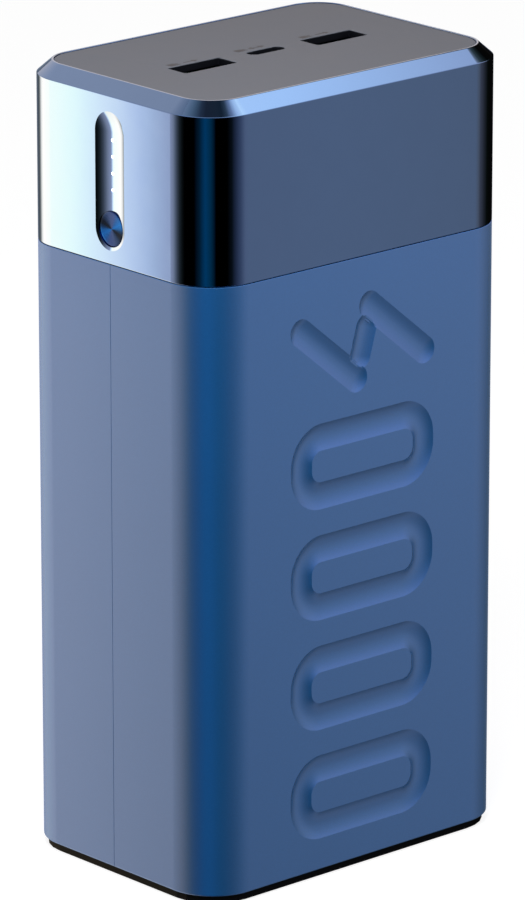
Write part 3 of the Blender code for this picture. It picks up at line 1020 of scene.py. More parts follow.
def segment_distance(x: Array, z: Array, start: Sequence[float], end: Sequence[float]) -> Array:
    """Distance of places from a segment: |p - start - t (end - start)|, with t clamped to 0 and 1."""
    (ax, az), (bx, bz) = start, end
    along_x, along_z = bx - ax, bz - az
    share = np.clip(((x - ax) * along_x + (z - az) * along_z) / (along_x**2 + along_z**2), 0, 1)
    return np.hypot(x - ax - share * along_x, z - az - share * along_z)


@dataclass
class Grooves:
    """The motif moulded in the front face: four ring grooves under a bolt of three strokes."""

    half_width: float = 2.65
    depth: float = 0.8
    pitch: float = 21.75
    first: float = 16.5
    half_length: float = 15.45
    half_height: float = 5.7
    corner: float = 5.0
    bolt_height: float = 103.9
    knee: tuple[float, float] = (1.6, 6.9)
    tip: tuple[float, float] = (15.6, -4.6)
    link: tuple[float, float] = (0.75, 2.6)
    ring_count: int = 4
    strips: int = 14
    arc_steps: int = 16

    def strokes(self) -> list[tuple[Array, Array]]:
        """The ends of the bolt's strokes, in X and Z; the third is the first turned half round."""
        centre = np.array([0.0, self.bolt_height])
        knee, tip, link = np.array(self.knee), np.array(self.tip), np.array(self.link)
        return [(centre + a, centre + b) for a, b in ((tip, knee), (link, -link), (-knee, -tip))]

    def sink(self, x: Array, z: Array) -> Array:
        """Depth of the face at places, from the nearest groove's centre line.

        A ring's line is a rounded rectangle: the distance to it is the size of
        |(max(|x| - a, 0), max(|z| - b, 0))| + min(max(|x| - a, |z| - b), 0) - corner, where a and b
        are its half sizes less the corner.

        Args:
            x: The places' X.
            z: Their Z.

        Returns:
            The depths, 0 on the plain face.
        """
        nearest = np.full(np.shape(x), np.inf)
        a, b = self.half_length - self.corner, self.half_height - self.corner
        for ring in range(self.ring_count):
            u, v = np.abs(x) - a, np.abs(z - self.first - ring * self.pitch) - b
            outside = np.hypot(np.maximum(u, 0), np.maximum(v, 0))
            line = outside + np.minimum(np.maximum(u, v), 0) - self.corner
            nearest = np.minimum(nearest, np.abs(line))
        for start, end in self.strokes():
            nearest = np.minimum(nearest, segment_distance(x, z, start, end))
        return scoop_depth(nearest, self.half_width, self.depth)

    def lines(self) -> list[Array]:
        """Loops that run along every groove at even distances across it, so that its lips are edges."""
        found = []
        across = np.linspace(-self.half_width, self.half_width, self.strips + 1)
        for ring in range(self.ring_count):
            centre = (0.0, self.first + ring * self.pitch)
            found += [
                RoundedRectangle(
                    self.half_length + s, self.half_height + s, self.corner + s, centre
                ).closed(self.arc_steps).points
                for s in across
            ]
        for start, end in self.strokes():
            turn = math.atan2(*(end - start)[::-1]) - math.pi / 2
            half = float(np.linalg.norm(end - start)) / 2
            spin = np.array([[math.cos(turn), math.sin(turn)], [-math.sin(turn), math.cos(turn)]])
            for s in across[self.strips // 2 + 1 :]:
                slot = stadium(s, (0, 0), half, 2 * self.arc_steps)
                found.append(slot.points @ spin + (start + end) / 2)
        return found


@dataclass
class Case:
    """The two satin half shells, which meet in a fine seam on the narrow faces."""

    finishes: Finishes
    radius: float = 10.0
    wall: float = 2.0
    corner_steps: int = 18
    bottom_edge: float = 0.4
    top_edge: float = 0.12
    seam_gap: float = 0.02
    seam_edge: float = 0.06
    gap_under_cap: float = 0.14
    rim_inset: float = 5.0
    rim_heights: tuple[float, float] = (114.0, 118.3)
    neck_insets: tuple[float, float] = (2.3, 3.8)
    inner_edge: float = 0.2
    foot_edge: float = 0.3
    seam_steps: int = 8

    def build(self) -> None:
        """Builds both halves."""
        low, high = cad_box("front_shell")
        self.half_x, self.half_y = -low[0], -low[1]
        self.bottom, self.neck_top = low[2], high[2]
        self.top = cad_box("top_cap")[0][2] - self.gap_under_cap
        self.outline = RoundedRectangle(self.half_x, self.half_y, self.radius)
        halves = (("front_case_half", 3, "front_shell"), ("rear_case_half", 1, "rear_shell"))
        for name, side, node in halves:
            surface = swept(self.half_path(side), self.profile(), False)
            if node == "front_shell":
                self.groove(surface)
            settle(surface.build(name, self.finishes.satin), "case", self.finishes.satin, node)

    def profile(self) -> Array:
        """The wall's section: up the outside, over the edge, in to the neck, and down the inside."""
        neck_out, neck_in = self.neck_insets
        rim_low, rim_high = self.rim_heights
        return Profile(
            (
                (0.0, self.bottom, self.bottom_edge),
                (0.0, self.top, self.top_edge),
                (neck_out, self.top, 0.0),
                (neck_out, self.neck_top, self.inner_edge),
                (neck_in, self.neck_top, self.inner_edge),
                (neck_in, rim_high, 0.0),
                (self.rim_inset, rim_high, self.inner_edge),
                (self.rim_inset, rim_low, self.inner_edge),
                (self.wall, rim_low, 0.0),
                (self.wall, self.bottom, self.foot_edge),
            )
        ).points()

    def half_path(self, side: int) -> Path:
        """The half outline on one side of the seam, with both ends turned in by a small arc.

        Args:
            side: 1 for the rear half, 3 for the front half.

        Returns:
            The open path, anticlockwise.
        """
        flat_end = self.outline.flat(0)
        near = self.seam_gap + self.seam_edge
        climb = np.array([near, near + SHOULDER, flat_end - SHOULDER, flat_end])
        first = self.outline.straight((side - 1) % 4, climb)
        last = self.outline.straight((side + 1) % 4, -climb[::-1])
        return joined(
            [
                self.seam_arc(first, 0),
                first,
                self.outline.corner((side - 1) % 4, self.corner_steps),
                self.outline.straight(side, self.outline.stops(side)),
                self.outline.corner(side, self.corner_steps),
                last,
                self.seam_arc(last, -1),
            ]
        )

    def seam_arc(self, run: Path, end: int) -> Path:
        """A quarter round at the seam: sin along the run, and 1 - cos inward, times its radius.

        Args:
            run: The straight stretch it belongs to.
            end: 0 to lead in to its first point, -1 to lead out of its last.

        Returns:
            The arc's points in walking order.
        """
        angles = np.linspace(0, math.pi / 2, self.seam_steps + 1)[1:]
        at, out = run.points[end], run.outward[end]
        away = run.points[end] - run.points[1 if end == 0 else -2]
        away /= np.linalg.norm(away)
        points = at + self.seam_edge * (
            np.sin(angles)[:, None] * away - (1 - np.cos(angles))[:, None] * out
        )
        arc = Path(points, np.broadcast_to(out, points.shape))
        return Path(arc.points[::-1], arc.outward) if end == 0 else arc

    def groove(self, surface: Surface) -> None:
        """Puts the grooved face in the place of the front wall's flat.

        Args:
            surface: The swept half shell.
        """
        corners = surface.open_at((0, -self.half_y, (self.bottom + self.top) / 2))
        low, high = corners[:, [0, 2]].min(0), corners[:, [0, 2]].max(0)
        border = np.array([low, (high[0], low[1]), high, (low[0], high[1])])
        grooves = Grooves()
        flat, faces = triangulated([border, *grooves.lines()])
        x, z = flat.T
        points = np.column_stack([x, grooves.sink(x, z) - self.half_y, z])
        surface.add(Surface(points, triangles=faces))


@dataclass
class Cap:
    """The polished cap: a chamfered collar, and the scoop with its holes in the narrow face."""

    finishes: Finishes
    button_z: float
    light_heights: Array
    radius: float = 10.0
    wall: float = 2.0
    corner_steps: int = 20
    bottom_edge: float = 0.12
    chamfer_edge: float = 0.22
    chamfer_inset: float = 2.85
    chamfer_height: float = 2.5
    rim: float = 0.4
    rim_edge: float = 0.12
    ledge: float = 2.0
    panel_room: float = 1.8
    scoop_radius: float = 4.05
    scoop_half: float = 9.15
    scoop_depth: float = 0.74
    bore_radius: float = 3.42
    light_radius: float = 0.36
    clearance: float = 0.12
    mesh_step: float = 0.3
    scoop_rings: int = 14
    scoop_steps: int = 40
    bore_steps: int = 64
    light_steps: int = 16

    def build(self) -> None:
        """Builds the cap around the CAD cap's box."""
        low, high = cad_box("top_cap")
        self.half_x, self.half_y = high[0], high[1]
        self.bottom, self.top = low[2], high[2]
        self.seat = cad_box("port_panel")[1][2] - self.panel_room
        self.scoop_centre = self.button_z + self.scoop_half
        settle(self.shell(), "case", self.finishes.mirror, "top_cap")

    def profile(self) -> Array:
        """The collar's section, from the outer bottom edge up and round."""
        recess = self.chamfer_inset + self.rim
        under = self.seat - self.ledge
        return Profile(
            (
                (0.0, self.bottom, self.bottom_edge),
                (0.0, self.top - self.chamfer_height, self.chamfer_edge),
                (self.chamfer_inset, self.top, self.chamfer_edge),
                (recess, self.top, self.rim_edge),
                (recess, self.seat, 0.0),
                (recess + self.ledge, self.seat, 0.15),
                (recess + self.ledge, under, 0.15),
                (self.wall, under, 0.3),
                (self.wall, self.bottom, 0.25),
            )
        ).points()

    def openings(self) -> list[Path]:
        """The button's bore and the lights' holes as circles in the (Y, Z) plane."""
        lights = [circle(self.light_radius, (0, z), self.light_steps) for z in self.light_heights]
        return [circle(self.bore_radius, (0, self.button_z), self.bore_steps), *lights]

    def solid(self, places: Array, clearance: float = 0.0) -> Array:
        """Which (Y, Z) places lie on metal, this far or further from every hole."""
        y, z = places.T
        found = np.hypot(y, z - self.button_z) > self.bore_radius + clearance
        for height in self.light_heights:
            found &= np.hypot(y, z - height) > self.light_radius + clearance
        return found

    def depth(self, y: Array, z: Array) -> Array:
        """How deep the scoop is at places on the narrow face."""
        ends = (0.0, self.scoop_centre - self.scoop_half), (0.0, self.scoop_centre + self.scoop_half)
        return scoop_depth(segment_distance(y, z, *ends), self.scoop_radius, self.scoop_depth)

    def shell(self) -> bpy.types.Object:
        """Sweeps the collar and fits the scooped patch into its narrow side.

        Returns:
            The piece.
        """
        outline = RoundedRectangle(self.half_x, self.half_y, self.radius)
        surface = swept(outline.closed(self.corner_steps), self.profile())
        middle = (self.bottom + self.seat) / 2
        outer = self.patch(surface.open_at((-self.half_x, 0, middle)), True)
        inner = self.patch(surface.open_at((self.wall - self.half_x, 0, middle)), False)
        surface.add(outer.flipped()).add(inner)
        for hole in self.openings():
            y, z = hole.points.T
            sides = (np.full(len(y), self.wall - self.half_x), self.depth(y, z) - self.half_x)
            points = np.stack([np.column_stack([x, y, z]) for x in sides], 1).reshape(-1, 3)
            surface.add(Surface(points, grid_faces(len(y), 2, True, False)))
        return surface.build("polished_cap", self.finishes.mirror)

    def patch(self, corners: Array, scooped: bool) -> Surface:
        """A piece of wall with the holes in it, facing +X.

        Args:
            corners: The opening that it fills.
            scooped: Whether it is the outer side, with the scoop.

        Returns:
            The patch.
        """
        low, high = corners[:, 1:].min(0), corners[:, 1:].max(0)
        loops = [np.array([low, (high[0], low[1]), high, (low[0], high[1])])]
        loops += [hole.points for hole in self.openings()]
        inner = np.zeros((0, 2))
        if scooped:
            centre = (0.0, self.scoop_centre)
            shares = np.linspace(1, 0, self.scoop_rings)
            rings = [
                stadium(self.scoop_radius * s, centre, self.scoop_half, self.scoop_steps).points
                for s in shares
            ]
            loops += rings[:2]
            heights = spaced(-self.scoop_half, self.scoop_half, self.mesh_step)[1:-1]
            across = np.concatenate([-shares[2:], shares[2:]]) * self.scoop_radius
            grid = np.stack(np.meshgrid(across, heights + self.scoop_centre), -1).reshape(-1, 2)
            inner = np.concatenate([grid, *rings[2:]])
            inner = inner[self.solid(inner, self.clearance)]
        flat, faces = triangulated(loops, inner, self.solid)
        sunk = self.depth(*flat.T) if scooped else 0.0
        points = np.column_stack([np.full(len(flat), corners[0, 0]) + sunk, flat])
        return Surface(points, triangles=faces)


class Sign(Enum):
    """The arrow of a port's printed sign, as an anticlockwise outline: power goes out, or both ways."""

    OUT = ((0, -0.12), (1.5, -0.12), (1.5, -0.45), (2.3, 0), (1.5, 0.45), (1.5, 0.12), (0, 0.12))
    BOTH = (
        *((-0.4, 0), (0.4, -0.45), (0.4, -0.12), (1.5, -0.12), (1.5, -0.45)),
        *((2.3, 0), (1.5, 0.45), (1.5, 0.12), (0.4, 0.12), (0.4, 0.45)),
    )


@dataclass
class PortPanel:
    """The matt panel with its three windows and a small printed sign by each."""

    finishes: Finishes
    usb_a_x: float = 16.5
    usb_a_y: float = -0.7
    usb_c_y: float = 0.1
    usb_a_window: tuple[float, float] = (6.35, 2.65)
    usb_c_window: tuple[float, float] = (4.25, 1.35)
    corner: float = 6.67
    edge: float = 0.15
    sign_x: tuple[float, float, float] = (-16.4, 0.2, 16.6)
    sign_y: float = 3.15
    sign_scale: float = 1.5
    sign_height: float = 0.015
    overlap: float = 0.08
    outer_steps: int = 12
    window_steps: int = 8

    def windows(self) -> list[RoundedRectangle]:
        """The outlines of the three windows."""
        return [
            RoundedRectangle(*self.usb_a_window, 0.3, (-self.usb_a_x, self.usb_a_y)),
            RoundedRectangle(*self.usb_c_window, 1.3, (0.0, self.usb_c_y)),
            RoundedRectangle(*self.usb_a_window, 0.3, (self.usb_a_x, self.usb_a_y)),
        ]

    def on_plate(self, places: Array) -> Array:
        """Which places lie outside every window.

        With u the distances past a window's corner centres along X and Y, the outline lies where
        |max(u, 0)| + min(max(u), 0) is the corner's radius.

        Args:
            places: The places in X and Y.

        Returns:
            True where there is plate.
        """
        found = np.ones(len(places), bool)
        for w in self.windows():
            u = np.abs(places - np.asarray(w.centre)) - (np.array([w.half_x, w.half_y]) - w.radius)
            found &= np.hypot(*np.maximum(u, 0).T) + np.minimum(u.max(1), 0) - w.radius > 0
        return found

    def build(self) -> None:
        """Builds the panel and its signs."""
        low, high = cad_box("port_panel")
        bottom, top = low[2], high[2]
        outline = RoundedRectangle(high[0] + self.overlap, high[1] + self.overlap, self.corner)
        rim = outline.closed(self.outer_steps)
        edge = Profile(
            ((1.0, bottom, 0.0), (0.0, bottom, 0.1), (0.0, top, self.edge), (1.0, top, 0.0)),
            cyclic=False,
        ).points()
        wall = np.column_stack([np.minimum(edge[:, 0], self.edge), edge[:, 1]])
        plate = swept(rim, edge, True, False)
        holes = [w.closed(self.window_steps) for w in self.windows()]
        for hole in holes:
            plate.add(swept(Path(hole.points, -hole.outward), wall, True, False).flipped())
        for end in (0, -1):
            loops = [rim.inset(edge[end, 0]), *(h.inset(-wall[end, 0]) for h in holes)]
            flat, faces = triangulated(loops, keep=self.on_plate)
            face = Surface(np.column_stack([flat, np.full(len(flat), edge[end, 1])]), triangles=faces)
            plate.add(face if end else face.flipped())
        panel = plate.build("matt_port_panel", self.finishes.panel)
        settle(panel, "case", self.finishes.panel, "port_panel")
        for x, (number, sign) in zip(self.sign_x, enumerate((Sign.OUT, Sign.BOTH, Sign.OUT), 1)):
            piece = self.sign(x, top, sign).build(f"port_sign_{number}", self.finishes.ink)
            settle(piece, "case", self.finishes.ink)

    def sign(self, x: float, top: float, sign: Sign) -> Surface:
        """A thin print: a plug's outline with prongs, and the arrow of the power's direction.

        Args:
            x: Where the print's two shapes part, in X.
            top: The panel's top.
            sign: Which arrow it has.

        Returns:
            The print.
        """
        plug = np.array(
            [(-3.4, -0.5), (-2.2, -0.5), (-2.2, -0.35), (-1.6, -0.35), (-1.6, -0.13), (-2.2, -0.13)]
            + [(-2.2, 0.13), (-1.6, 0.13), (-1.6, 0.35), (-2.2, 0.35), (-2.2, 0.5), (-3.4, 0.5)]
        )
        made = Surface()
        for shape in (plug, np.array(sign.value) + (-0.9, 0)):
            made.add(prism(shape * self.sign_scale + (x, self.sign_y), top, top + self.sign_height))
        return made


def prism(outline: Array, low: float, high: float) -> Surface:
    """Raises an anticlockwise outline between two heights: (x, y, low) and (x, y, high)."""
    count = len(outline)
    ends = [np.column_stack([outline, np.full(count, z)]) for z in (low, high)]
    made = Surface(np.stack(ends, 1).reshape(-1, 3), grid_faces(count, 2, True, False))
    made.polygons = [list(range(2 * count - 2, -1, -2)), list(range(1, 2 * count, 2))]
    return made


@dataclass
class Button:
    """The spun round button, which slides in the scoop's lower end."""

    finishes: Finishes
    button_z: float
    radius: float = 3.34
    dish: float = 0.06
    bevel: float = 0.2
    flange_radius: float = 4.1
    flange_back: float = 1.9
    flange_thickness: float = 0.8
    stem_radius: float = 1.2
    flat_ring: float = 0.45
    dish_inset: float = 0.5
    dish_rings: int = 24
    steps: int = 96

    def build(self) -> None:
        """Turns the button: a dished face, a bevelled edge, a flange behind the wall and a stem."""
        low, high = cad_box("power_button")
        face, back = -low[0], -high[0]
        flange = face - self.flange_back
        behind = flange - self.flange_thickness
        body = Profile(
            (
                (0.0, back, 0.0),
                (self.stem_radius, back, 0.15),
                (self.stem_radius, behind, 0.0),
                (self.flange_radius, behind, 0.15),
                (self.flange_radius, flange, 0.15),
                (self.radius, flange, 0.0),
                (self.radius, face, self.bevel),
                (self.radius - self.flat_ring, face, 0.0),
            ),
            cyclic=False,
        ).points()
        across = np.linspace(self.radius - self.dish_inset, 0.0, self.dish_rings)
        dished = face - self.dish * (1 - (across / across[0]) ** 2)
        section = np.concatenate([body, np.column_stack([across, dished])])
        surface = turned(section, self.steps, (0, 0, self.button_z))
        piece = surface.build("spun_button", self.finishes.spun)
        settle(piece, "button", self.finishes.spun, "power_button")


@dataclass
class LightGuide:
    """The clear bar behind the cap's wall, whose four domed tips show in the scoop."""

    finishes: Finishes
    light_heights: Array
    tip_radius: float = 0.32
    dome: float = 0.12
    tips_behind_face: float = 2.3
    tip_root: float = 0.3
    end_flat: float = 0.05
    bar_steps: int = 10
    tip_steps: int = 20

    def build(self) -> None:
        """Builds the bar and its tips in the CAD guide's box."""
        low, high = cad_box("light_guide")
        tips_start = cad_box("top_cap")[0][0] + self.tips_behind_face
        centre = ((low[1] + high[1]) / 2, (low[2] + high[2]) / 2)
        half_y, half_z = (high[1] - low[1]) / 2, (high[2] - low[2]) / 2
        rise = Profile(
            (
                (half_y, -high[0], 0.0),
                (0.0, -high[0], 0.15),
                (0.0, -tips_start, 0.15),
                (half_y, -tips_start, 0.0),
            ),
            cyclic=False,
        ).points()
        outline = RoundedRectangle(half_y, half_z, half_y - self.end_flat, (-centre[0], centre[1]))
        bar = swept(outline.closed(self.bar_steps), rise, True, False)
        made = bar.mapped(lambda p: np.column_stack([-p[:, 2], -p[:, 0], p[:, 1]]))
        tip_face = -low[0]
        angles = np.linspace(0, math.pi / 2, 6)
        tip_heights = tip_face - self.dome * (1 - np.sin(angles))
        dome = np.column_stack([self.tip_radius * np.cos(angles), tip_heights])
        root = -tips_start - self.tip_root
        base = np.array([(0.0, root), (self.tip_radius, root)])
        for height in self.light_heights:
            made.add(turned(np.concatenate([base, dome]), self.tip_steps, (0, 0, height)))
        piece = made.build("clear_light_guide", self.finishes.guide)
        settle(piece, "case", self.finishes.guide, "light_guide")


@dataclass
class Dressing:
    """Gives every CAD node that stays its finish."""

    finishes: Finishes

    def build(self) -> None:
        """Puts each node's finish in its material slots."""
        f = self.finishes
        worn = {
            "front_shell": f.satin,
            "rear_shell": f.satin,
            "top_cap": f.mirror,
            "port_panel": f.panel,
            "power_button": f.spun,
            "light_guide": f.guide,
            "base_pad": f.rubber,
            "base_plate": f.black,
            "base_screw": f.screw,
            "board_screw": f.screw,
            "battery_lead_black": f.dark,
            "battery_lead_red": f.red,
            "inductor": f.ferrite,
            "capacitor": f.can,
            "cell_spacer": f.foam,
            "cell": f.foil,
            "chip": f.chip,
            "divider_tray": f.black,
            "foam": f.foam,
            "insulator_sheet": f.tongue,
            "led_board": f.board,
            "link_header": f.chip,
            "main_board": f.board,
            "protection_board": f.board,
            "busbar": f.nickel,
            "switch_plunger": f.chip,
            "tact_switch": f.switch,
            "contact": f.gold,
            "usb_a_shell": f.socket,
            "usb_c_shell": f.socket,
            "tongue": f.tongue,
            "led": f.led,
        }
        for name, node in frame["nodes"].items():
            finish = next(f for part, f in worn.items() if part in name)
            node.data.materials.clear()
            node.data.materials.append(finish.material())
            LOG.info("%s wears %s", name, finish.name)


# Studio -------------------------------------------------------------------------------
def linear(tone: Sequence[float]) -> Array:
    """Turns 8-bit display tones to linear light: ((c + 0.055) / 1.055) to the power 2.4."""
    share = np.asarray(tone, float) / 255
    return np.where(share <= 0.04045, share / 12.92, ((share + 0.055) / 1.055) ** 2.4)


def reflected_only(
    name: str, points: Array, faces: Array, glow: Array, seen_by: bpy.types.Collection
) -> None:
    """Makes a glowing card that only the reflections in some pieces see, clear to all the others.

    Args:
        name: The card's name.
        points: Its points in metres.
        faces: Its quads.
        glow: The light's red, green and blue at each point.
        seen_by: The pieces that it lights.
    """
    mesh = bpy.data.meshes.new(name)
    mesh.from_pydata(points.tolist(), [], faces.tolist())
    colour = np.column_stack([glow, np.ones(len(glow))])
    mesh.attributes.new("glow", "FLOAT_COLOR", "POINT").data.foreach_set("color", colour.ravel())
    card = bpy.data.objects.new(name, mesh)
    bpy.context.scene.collection.objects.link(card)
    material = bpy.data.materials.new(name)
    material.use_nodes = True
    material.node_tree.nodes.clear()
    kit = NodeKit(material.node_tree)
    tone = Link(kit, kit.add("ShaderNodeAttribute", {"attribute_name": "glow"}).outputs["Color"])
    light = Link(kit, kit.add("ShaderNodeEmission", None, {"Color": tone, "Strength": 1.0}).outputs[0])
    clear = Link(kit, kit.add("ShaderNodeBsdfTransparent").outputs[0])
    both = Link(kit, kit.add("ShaderNodeAddShader", None, {0: light, 1: clear}).outputs[0])
    kit.add("ShaderNodeOutputMaterial", None, {"Surface": both})
    mesh.materials.append(material)
    card.visible_camera = False
    card.visible_diffuse = False
    card.visible_shadow = False
    card.light_linking.receiver_collection = seen_by


Stops = Sequence[tuple[float, Colour]]


@dataclass(frozen=True)
class Ribbon:
    """A curved card that only reflections see. Its light goes from stop to stop by azimuth.

    A stop is an azimuth in degrees, from -Y towards +X, and its linear light.
    """

    name: str
    low: float
    high: float
    lower: Stops
    upper: Stops
    radius: float = 0.3
    step: float = 0.25

    def build(self, seen_by: bpy.types.Collection) -> None:
        """Makes the card: (radius sin a, -radius cos a, height) over azimuths and two heights."""
        known = np.unique([place for place, _ in (*self.lower, *self.upper)])
        azimuths = np.unique(np.concatenate([spaced(known[0], known[-1], self.step), known]))
        angle = np.radians(azimuths)
        ring = np.column_stack([np.sin(angle), -np.cos(angle)]) * self.radius
        heights = (self.low, self.high)
        points = np.concatenate([np.column_stack([ring, np.full(len(ring), z)]) for z in heights])
        count = len(ring)
        first = np.arange(count - 1)
        faces = np.column_stack([first, first + 1, first + 1 + count, first + count])
        glow = np.concatenate([between(azimuths, stops) for stops in (self.lower, self.upper)])
        reflected_only(self.name, points, faces, glow, seen_by)


def between(places: Array, stops: Stops) -> Array:
    """The light at places, going evenly from stop to stop."""
    known, tones = np.array([s[0] for s in stops]), np.array([s[1] for s in stops])
    return np.stack([np.interp(places, known, tone) for tone in tones.T], -1)


@dataclass(frozen=True)
class CeilingCard:
    """A round card overhead that only reflections see, with its light in stops along one direction."""

    name: str
    height: float
    radius: float
    direction: float
    stops: Stops
    step: float = 0.005

    def build(self, seen_by: bpy.types.Collection) -> None:
        """Makes the card: (u cos d - v sin d, u sin d + v cos d, height), v to both rims at each u."""
        places = [s[0] for s in self.stops]
        along = np.unique(np.concatenate([spaced(-self.radius, self.radius, self.step), places]))
        rim = np.sqrt(np.maximum(self.radius**2 - along**2, 0))
        u, v = np.stack([along, along]), np.stack([-rim, rim])
        turn = math.radians(self.direction)
        x, y = u * math.cos(turn) - v * math.sin(turn), u * math.sin(turn) + v * math.cos(turn)
        points = np.stack([x, y, np.full_like(x, self.height)], -1).reshape(-1, 3)
        first = np.arange(len(along) - 1)
        faces = np.column_stack([first, first + 1, first + 1 + len(along), first + len(along)])
        glow = np.tile(between(along, self.stops), (2, 1))
        reflected_only(self.name, points, faces, glow, seen_by)


@dataclass
class Studio:
    """A white sweep, soft light from everywhere, cards for the polished metal, and the camera."""

    finishes: Finishes
    target: tuple[float, float, float] = (0.0, 0.0, 0.0783)
    azimuth: float = -41.98
    elevation: float = 16.96
    distance: float = 1.2896
    lens: float = 271.57
    shift: tuple[float, float] = (-0.0040, -0.0092)
    floor_size: float = 8.0
    floor_tone: Colour = (0.3, 0.3, 0.3)
    floor_glow: float = 0.85
    white: Colour = (1.0, 1.0, 1.0)
    sky_strength: float = 0.4
    softbox_place: tuple[float, float, float] = (-0.22, -0.2, 0.4)
    softbox_size: float = 0.2
    softbox_watts: float = 1.4
    paint_radius: float = 0.302

    def build(self) -> None:
        """Builds all of it."""
        scene = bpy.context.scene
        scene.view_settings.view_transform = "Standard"
        self.world(scene)
        self.floor()
        paint, rest = self.audiences(scene)
        for card in self.paint_ribbons():
            card.build(paint)
        for card in (*self.plating_ribbons(), self.ceiling()):
            card.build(rest)
        self.softbox()
        self.camera(scene)

    def audiences(self, scene: bpy.types.Scene) -> tuple[bpy.types.Collection, bpy.types.Collection]:
        """Sorts the pieces into the satin painted ones and the rest, which see other cards."""
        paint, rest = (bpy.data.collections.new(name) for name in ("satin_pieces", "other_pieces"))
        for piece in scene.objects:
            if piece.type == "MESH":
                satin = self.finishes.satin.material().name in piece.data.materials
                (paint if satin else rest).objects.link(piece)
        return paint, rest

    def world(self, scene: bpy.types.Scene) -> None:
        """Even white light that reflections don't see."""
        world = bpy.data.worlds.new("white_room")
        world.use_nodes = True
        sky = world.node_tree.nodes["Background"]
        sky.inputs["Color"].default_value = (*self.white, 1.0)
        sky.inputs["Strength"].default_value = self.sky_strength
        scene.world = world
        world.cycles_visibility.glossy = False

    def floor(self) -> None:
        """A white floor that glows enough to stay even."""
        half = self.floor_size / 2
        bottom = float(CAD_BOX[0][2])
        mesh = bpy.data.meshes.new("floor")
        corners = ((-half, -half), (half, -half), (half, half), (-half, half))
        mesh.from_pydata([(x, y, bottom) for x, y in corners], [], [(0, 1, 2, 3)])
        floor = bpy.data.objects.new("floor", mesh)
        bpy.context.scene.collection.objects.link(floor)
        material = bpy.data.materials.new("white_sweep")
        material.use_nodes = True
        shader = material.node_tree.nodes["Principled BSDF"]
        shader.inputs["Base Color"].default_value = (*self.floor_tone, 1.0)
        shader.inputs["Roughness"].default_value = 1.0
        shader.inputs["Emission Color"].default_value = (*self.white, 1.0)
        shader.inputs["Emission Strength"].default_value = self.floor_glow
        mesh.materials.append(material)
        floor.visible_glossy = False
        floor.visible_diffuse = False
        floor.visible_shadow = False

    def behind_plating(self, stops: Stops) -> Stops:
        """Turns stops given as the tones that the plating shows into the light that makes them."""
        tint = np.asarray(self.finishes.mirror.colour)
        return tuple((place, tuple(linear(tone) / tint)) for place, tone in stops)

    def paint_ribbons(self) -> list[Ribbon]:
        """The cards for the satin paint, which reflect more blue than red, and most from above.

        A row is an azimuth, the light at the height that the upright walls reflect at their top, and
        the share of it that they reflect at their bottom.
        """
        walls = (
            (-230.0, (0.5, 0.6, 0.9), 0.8),
            (-190.0, (0.6, 0.7, 1.0), 0.85),
            (-165.0, (1.4, 1.6, 1.95), 0.9),
            (-150.0, (1.65, 1.85, 2.25), 0.9),
            (-143.0, (1.85, 1.95, 2.42), 0.9),
            (-135.5, (1.85, 1.95, 2.4), 0.9),
            (-133.0, (1.16, 1.2, 1.42), 0.86),
            (-126.0, (1.12, 1.12, 1.24), 0.9),
            (-119.5, (1.06, 1.02, 1.04), 0.94),
            (-108.0, (0.88, 0.74, 0.6), 1.0),
            (-94.0, (0.42, 0.3, 0.02), 1.0),
            (-84.0, (0.16, 0.08, 0.0), 1.0),
            (-72.0, (0.06, 0.0, 0.1), 1.0),
            (-60.0, (0.0, 0.08, 0.42), 1.0),
            (-50.0, (0.0, 0.1, 0.48), 1.0),
            (-42.0, (0.0, 0.05, 0.3), 1.0),
            (-32.0, (0.0, 0.0, 0.04), 0.8),
            (-20.0, (0.03, 0.01, 0.04), 0.8),
            (-7.0, (0.11, 0.07, 0.08), 0.75),
            (4.0, (0.2, 0.22, 0.32), 0.72),
            (16.0, (0.34, 0.42, 0.68), 0.68),
            (28.0, (0.48, 0.62, 1.05), 0.66),
            (42.0, (0.6, 0.79, 1.32), 0.64),
            (52.0, (0.6, 0.79, 1.32), 0.64),
            (66.0, (0.46, 0.58, 0.9), 0.58),
            (80.0, (0.28, 0.36, 0.54), 0.6),
            (96.0, (0.14, 0.2, 0.28), 0.75),
            (114.0, (0.2, 0.26, 0.36), 0.8),
            (129.5, (0.5, 0.6, 0.9), 0.8),
        )
        above = (
            (-230.0, (0.6, 0.7, 1.2)),
            (-165.0, (0.9, 1.0, 1.5)),
            (-125.0, (0.8, 0.9, 1.3)),
            (-90.0, (0.4, 0.5, 0.9)),
            (-40.0, (0.3, 0.4, 0.9)),
            (0.0, (0.6, 0.75, 1.6)),
            (30.0, (0.85, 1.05, 2.1)),
            (90.0, (0.85, 1.05, 2.1)),
            (129.5, (0.6, 0.7, 1.2)),
        )
        top = [(azimuth, light) for azimuth, light, _ in walls]
        bottom = [(azimuth, tuple(c * share for c in light)) for azimuth, light, share in walls]
        under = [(azimuth, (r * 0.5, g * 0.62, b * 0.8)) for azimuth, (r, g, b) in bottom]
        return [
            Ribbon("under_card", -1.5, -0.12, under, bottom, self.paint_radius),
            Ribbon("wall_card", -0.12, 0.035, bottom, top, self.paint_radius),
            Ribbon("over_card", 0.035, 0.24, top, above, self.paint_radius),
            Ribbon("sky_card", 0.24, 1.6, above, above, self.paint_radius),
        ]

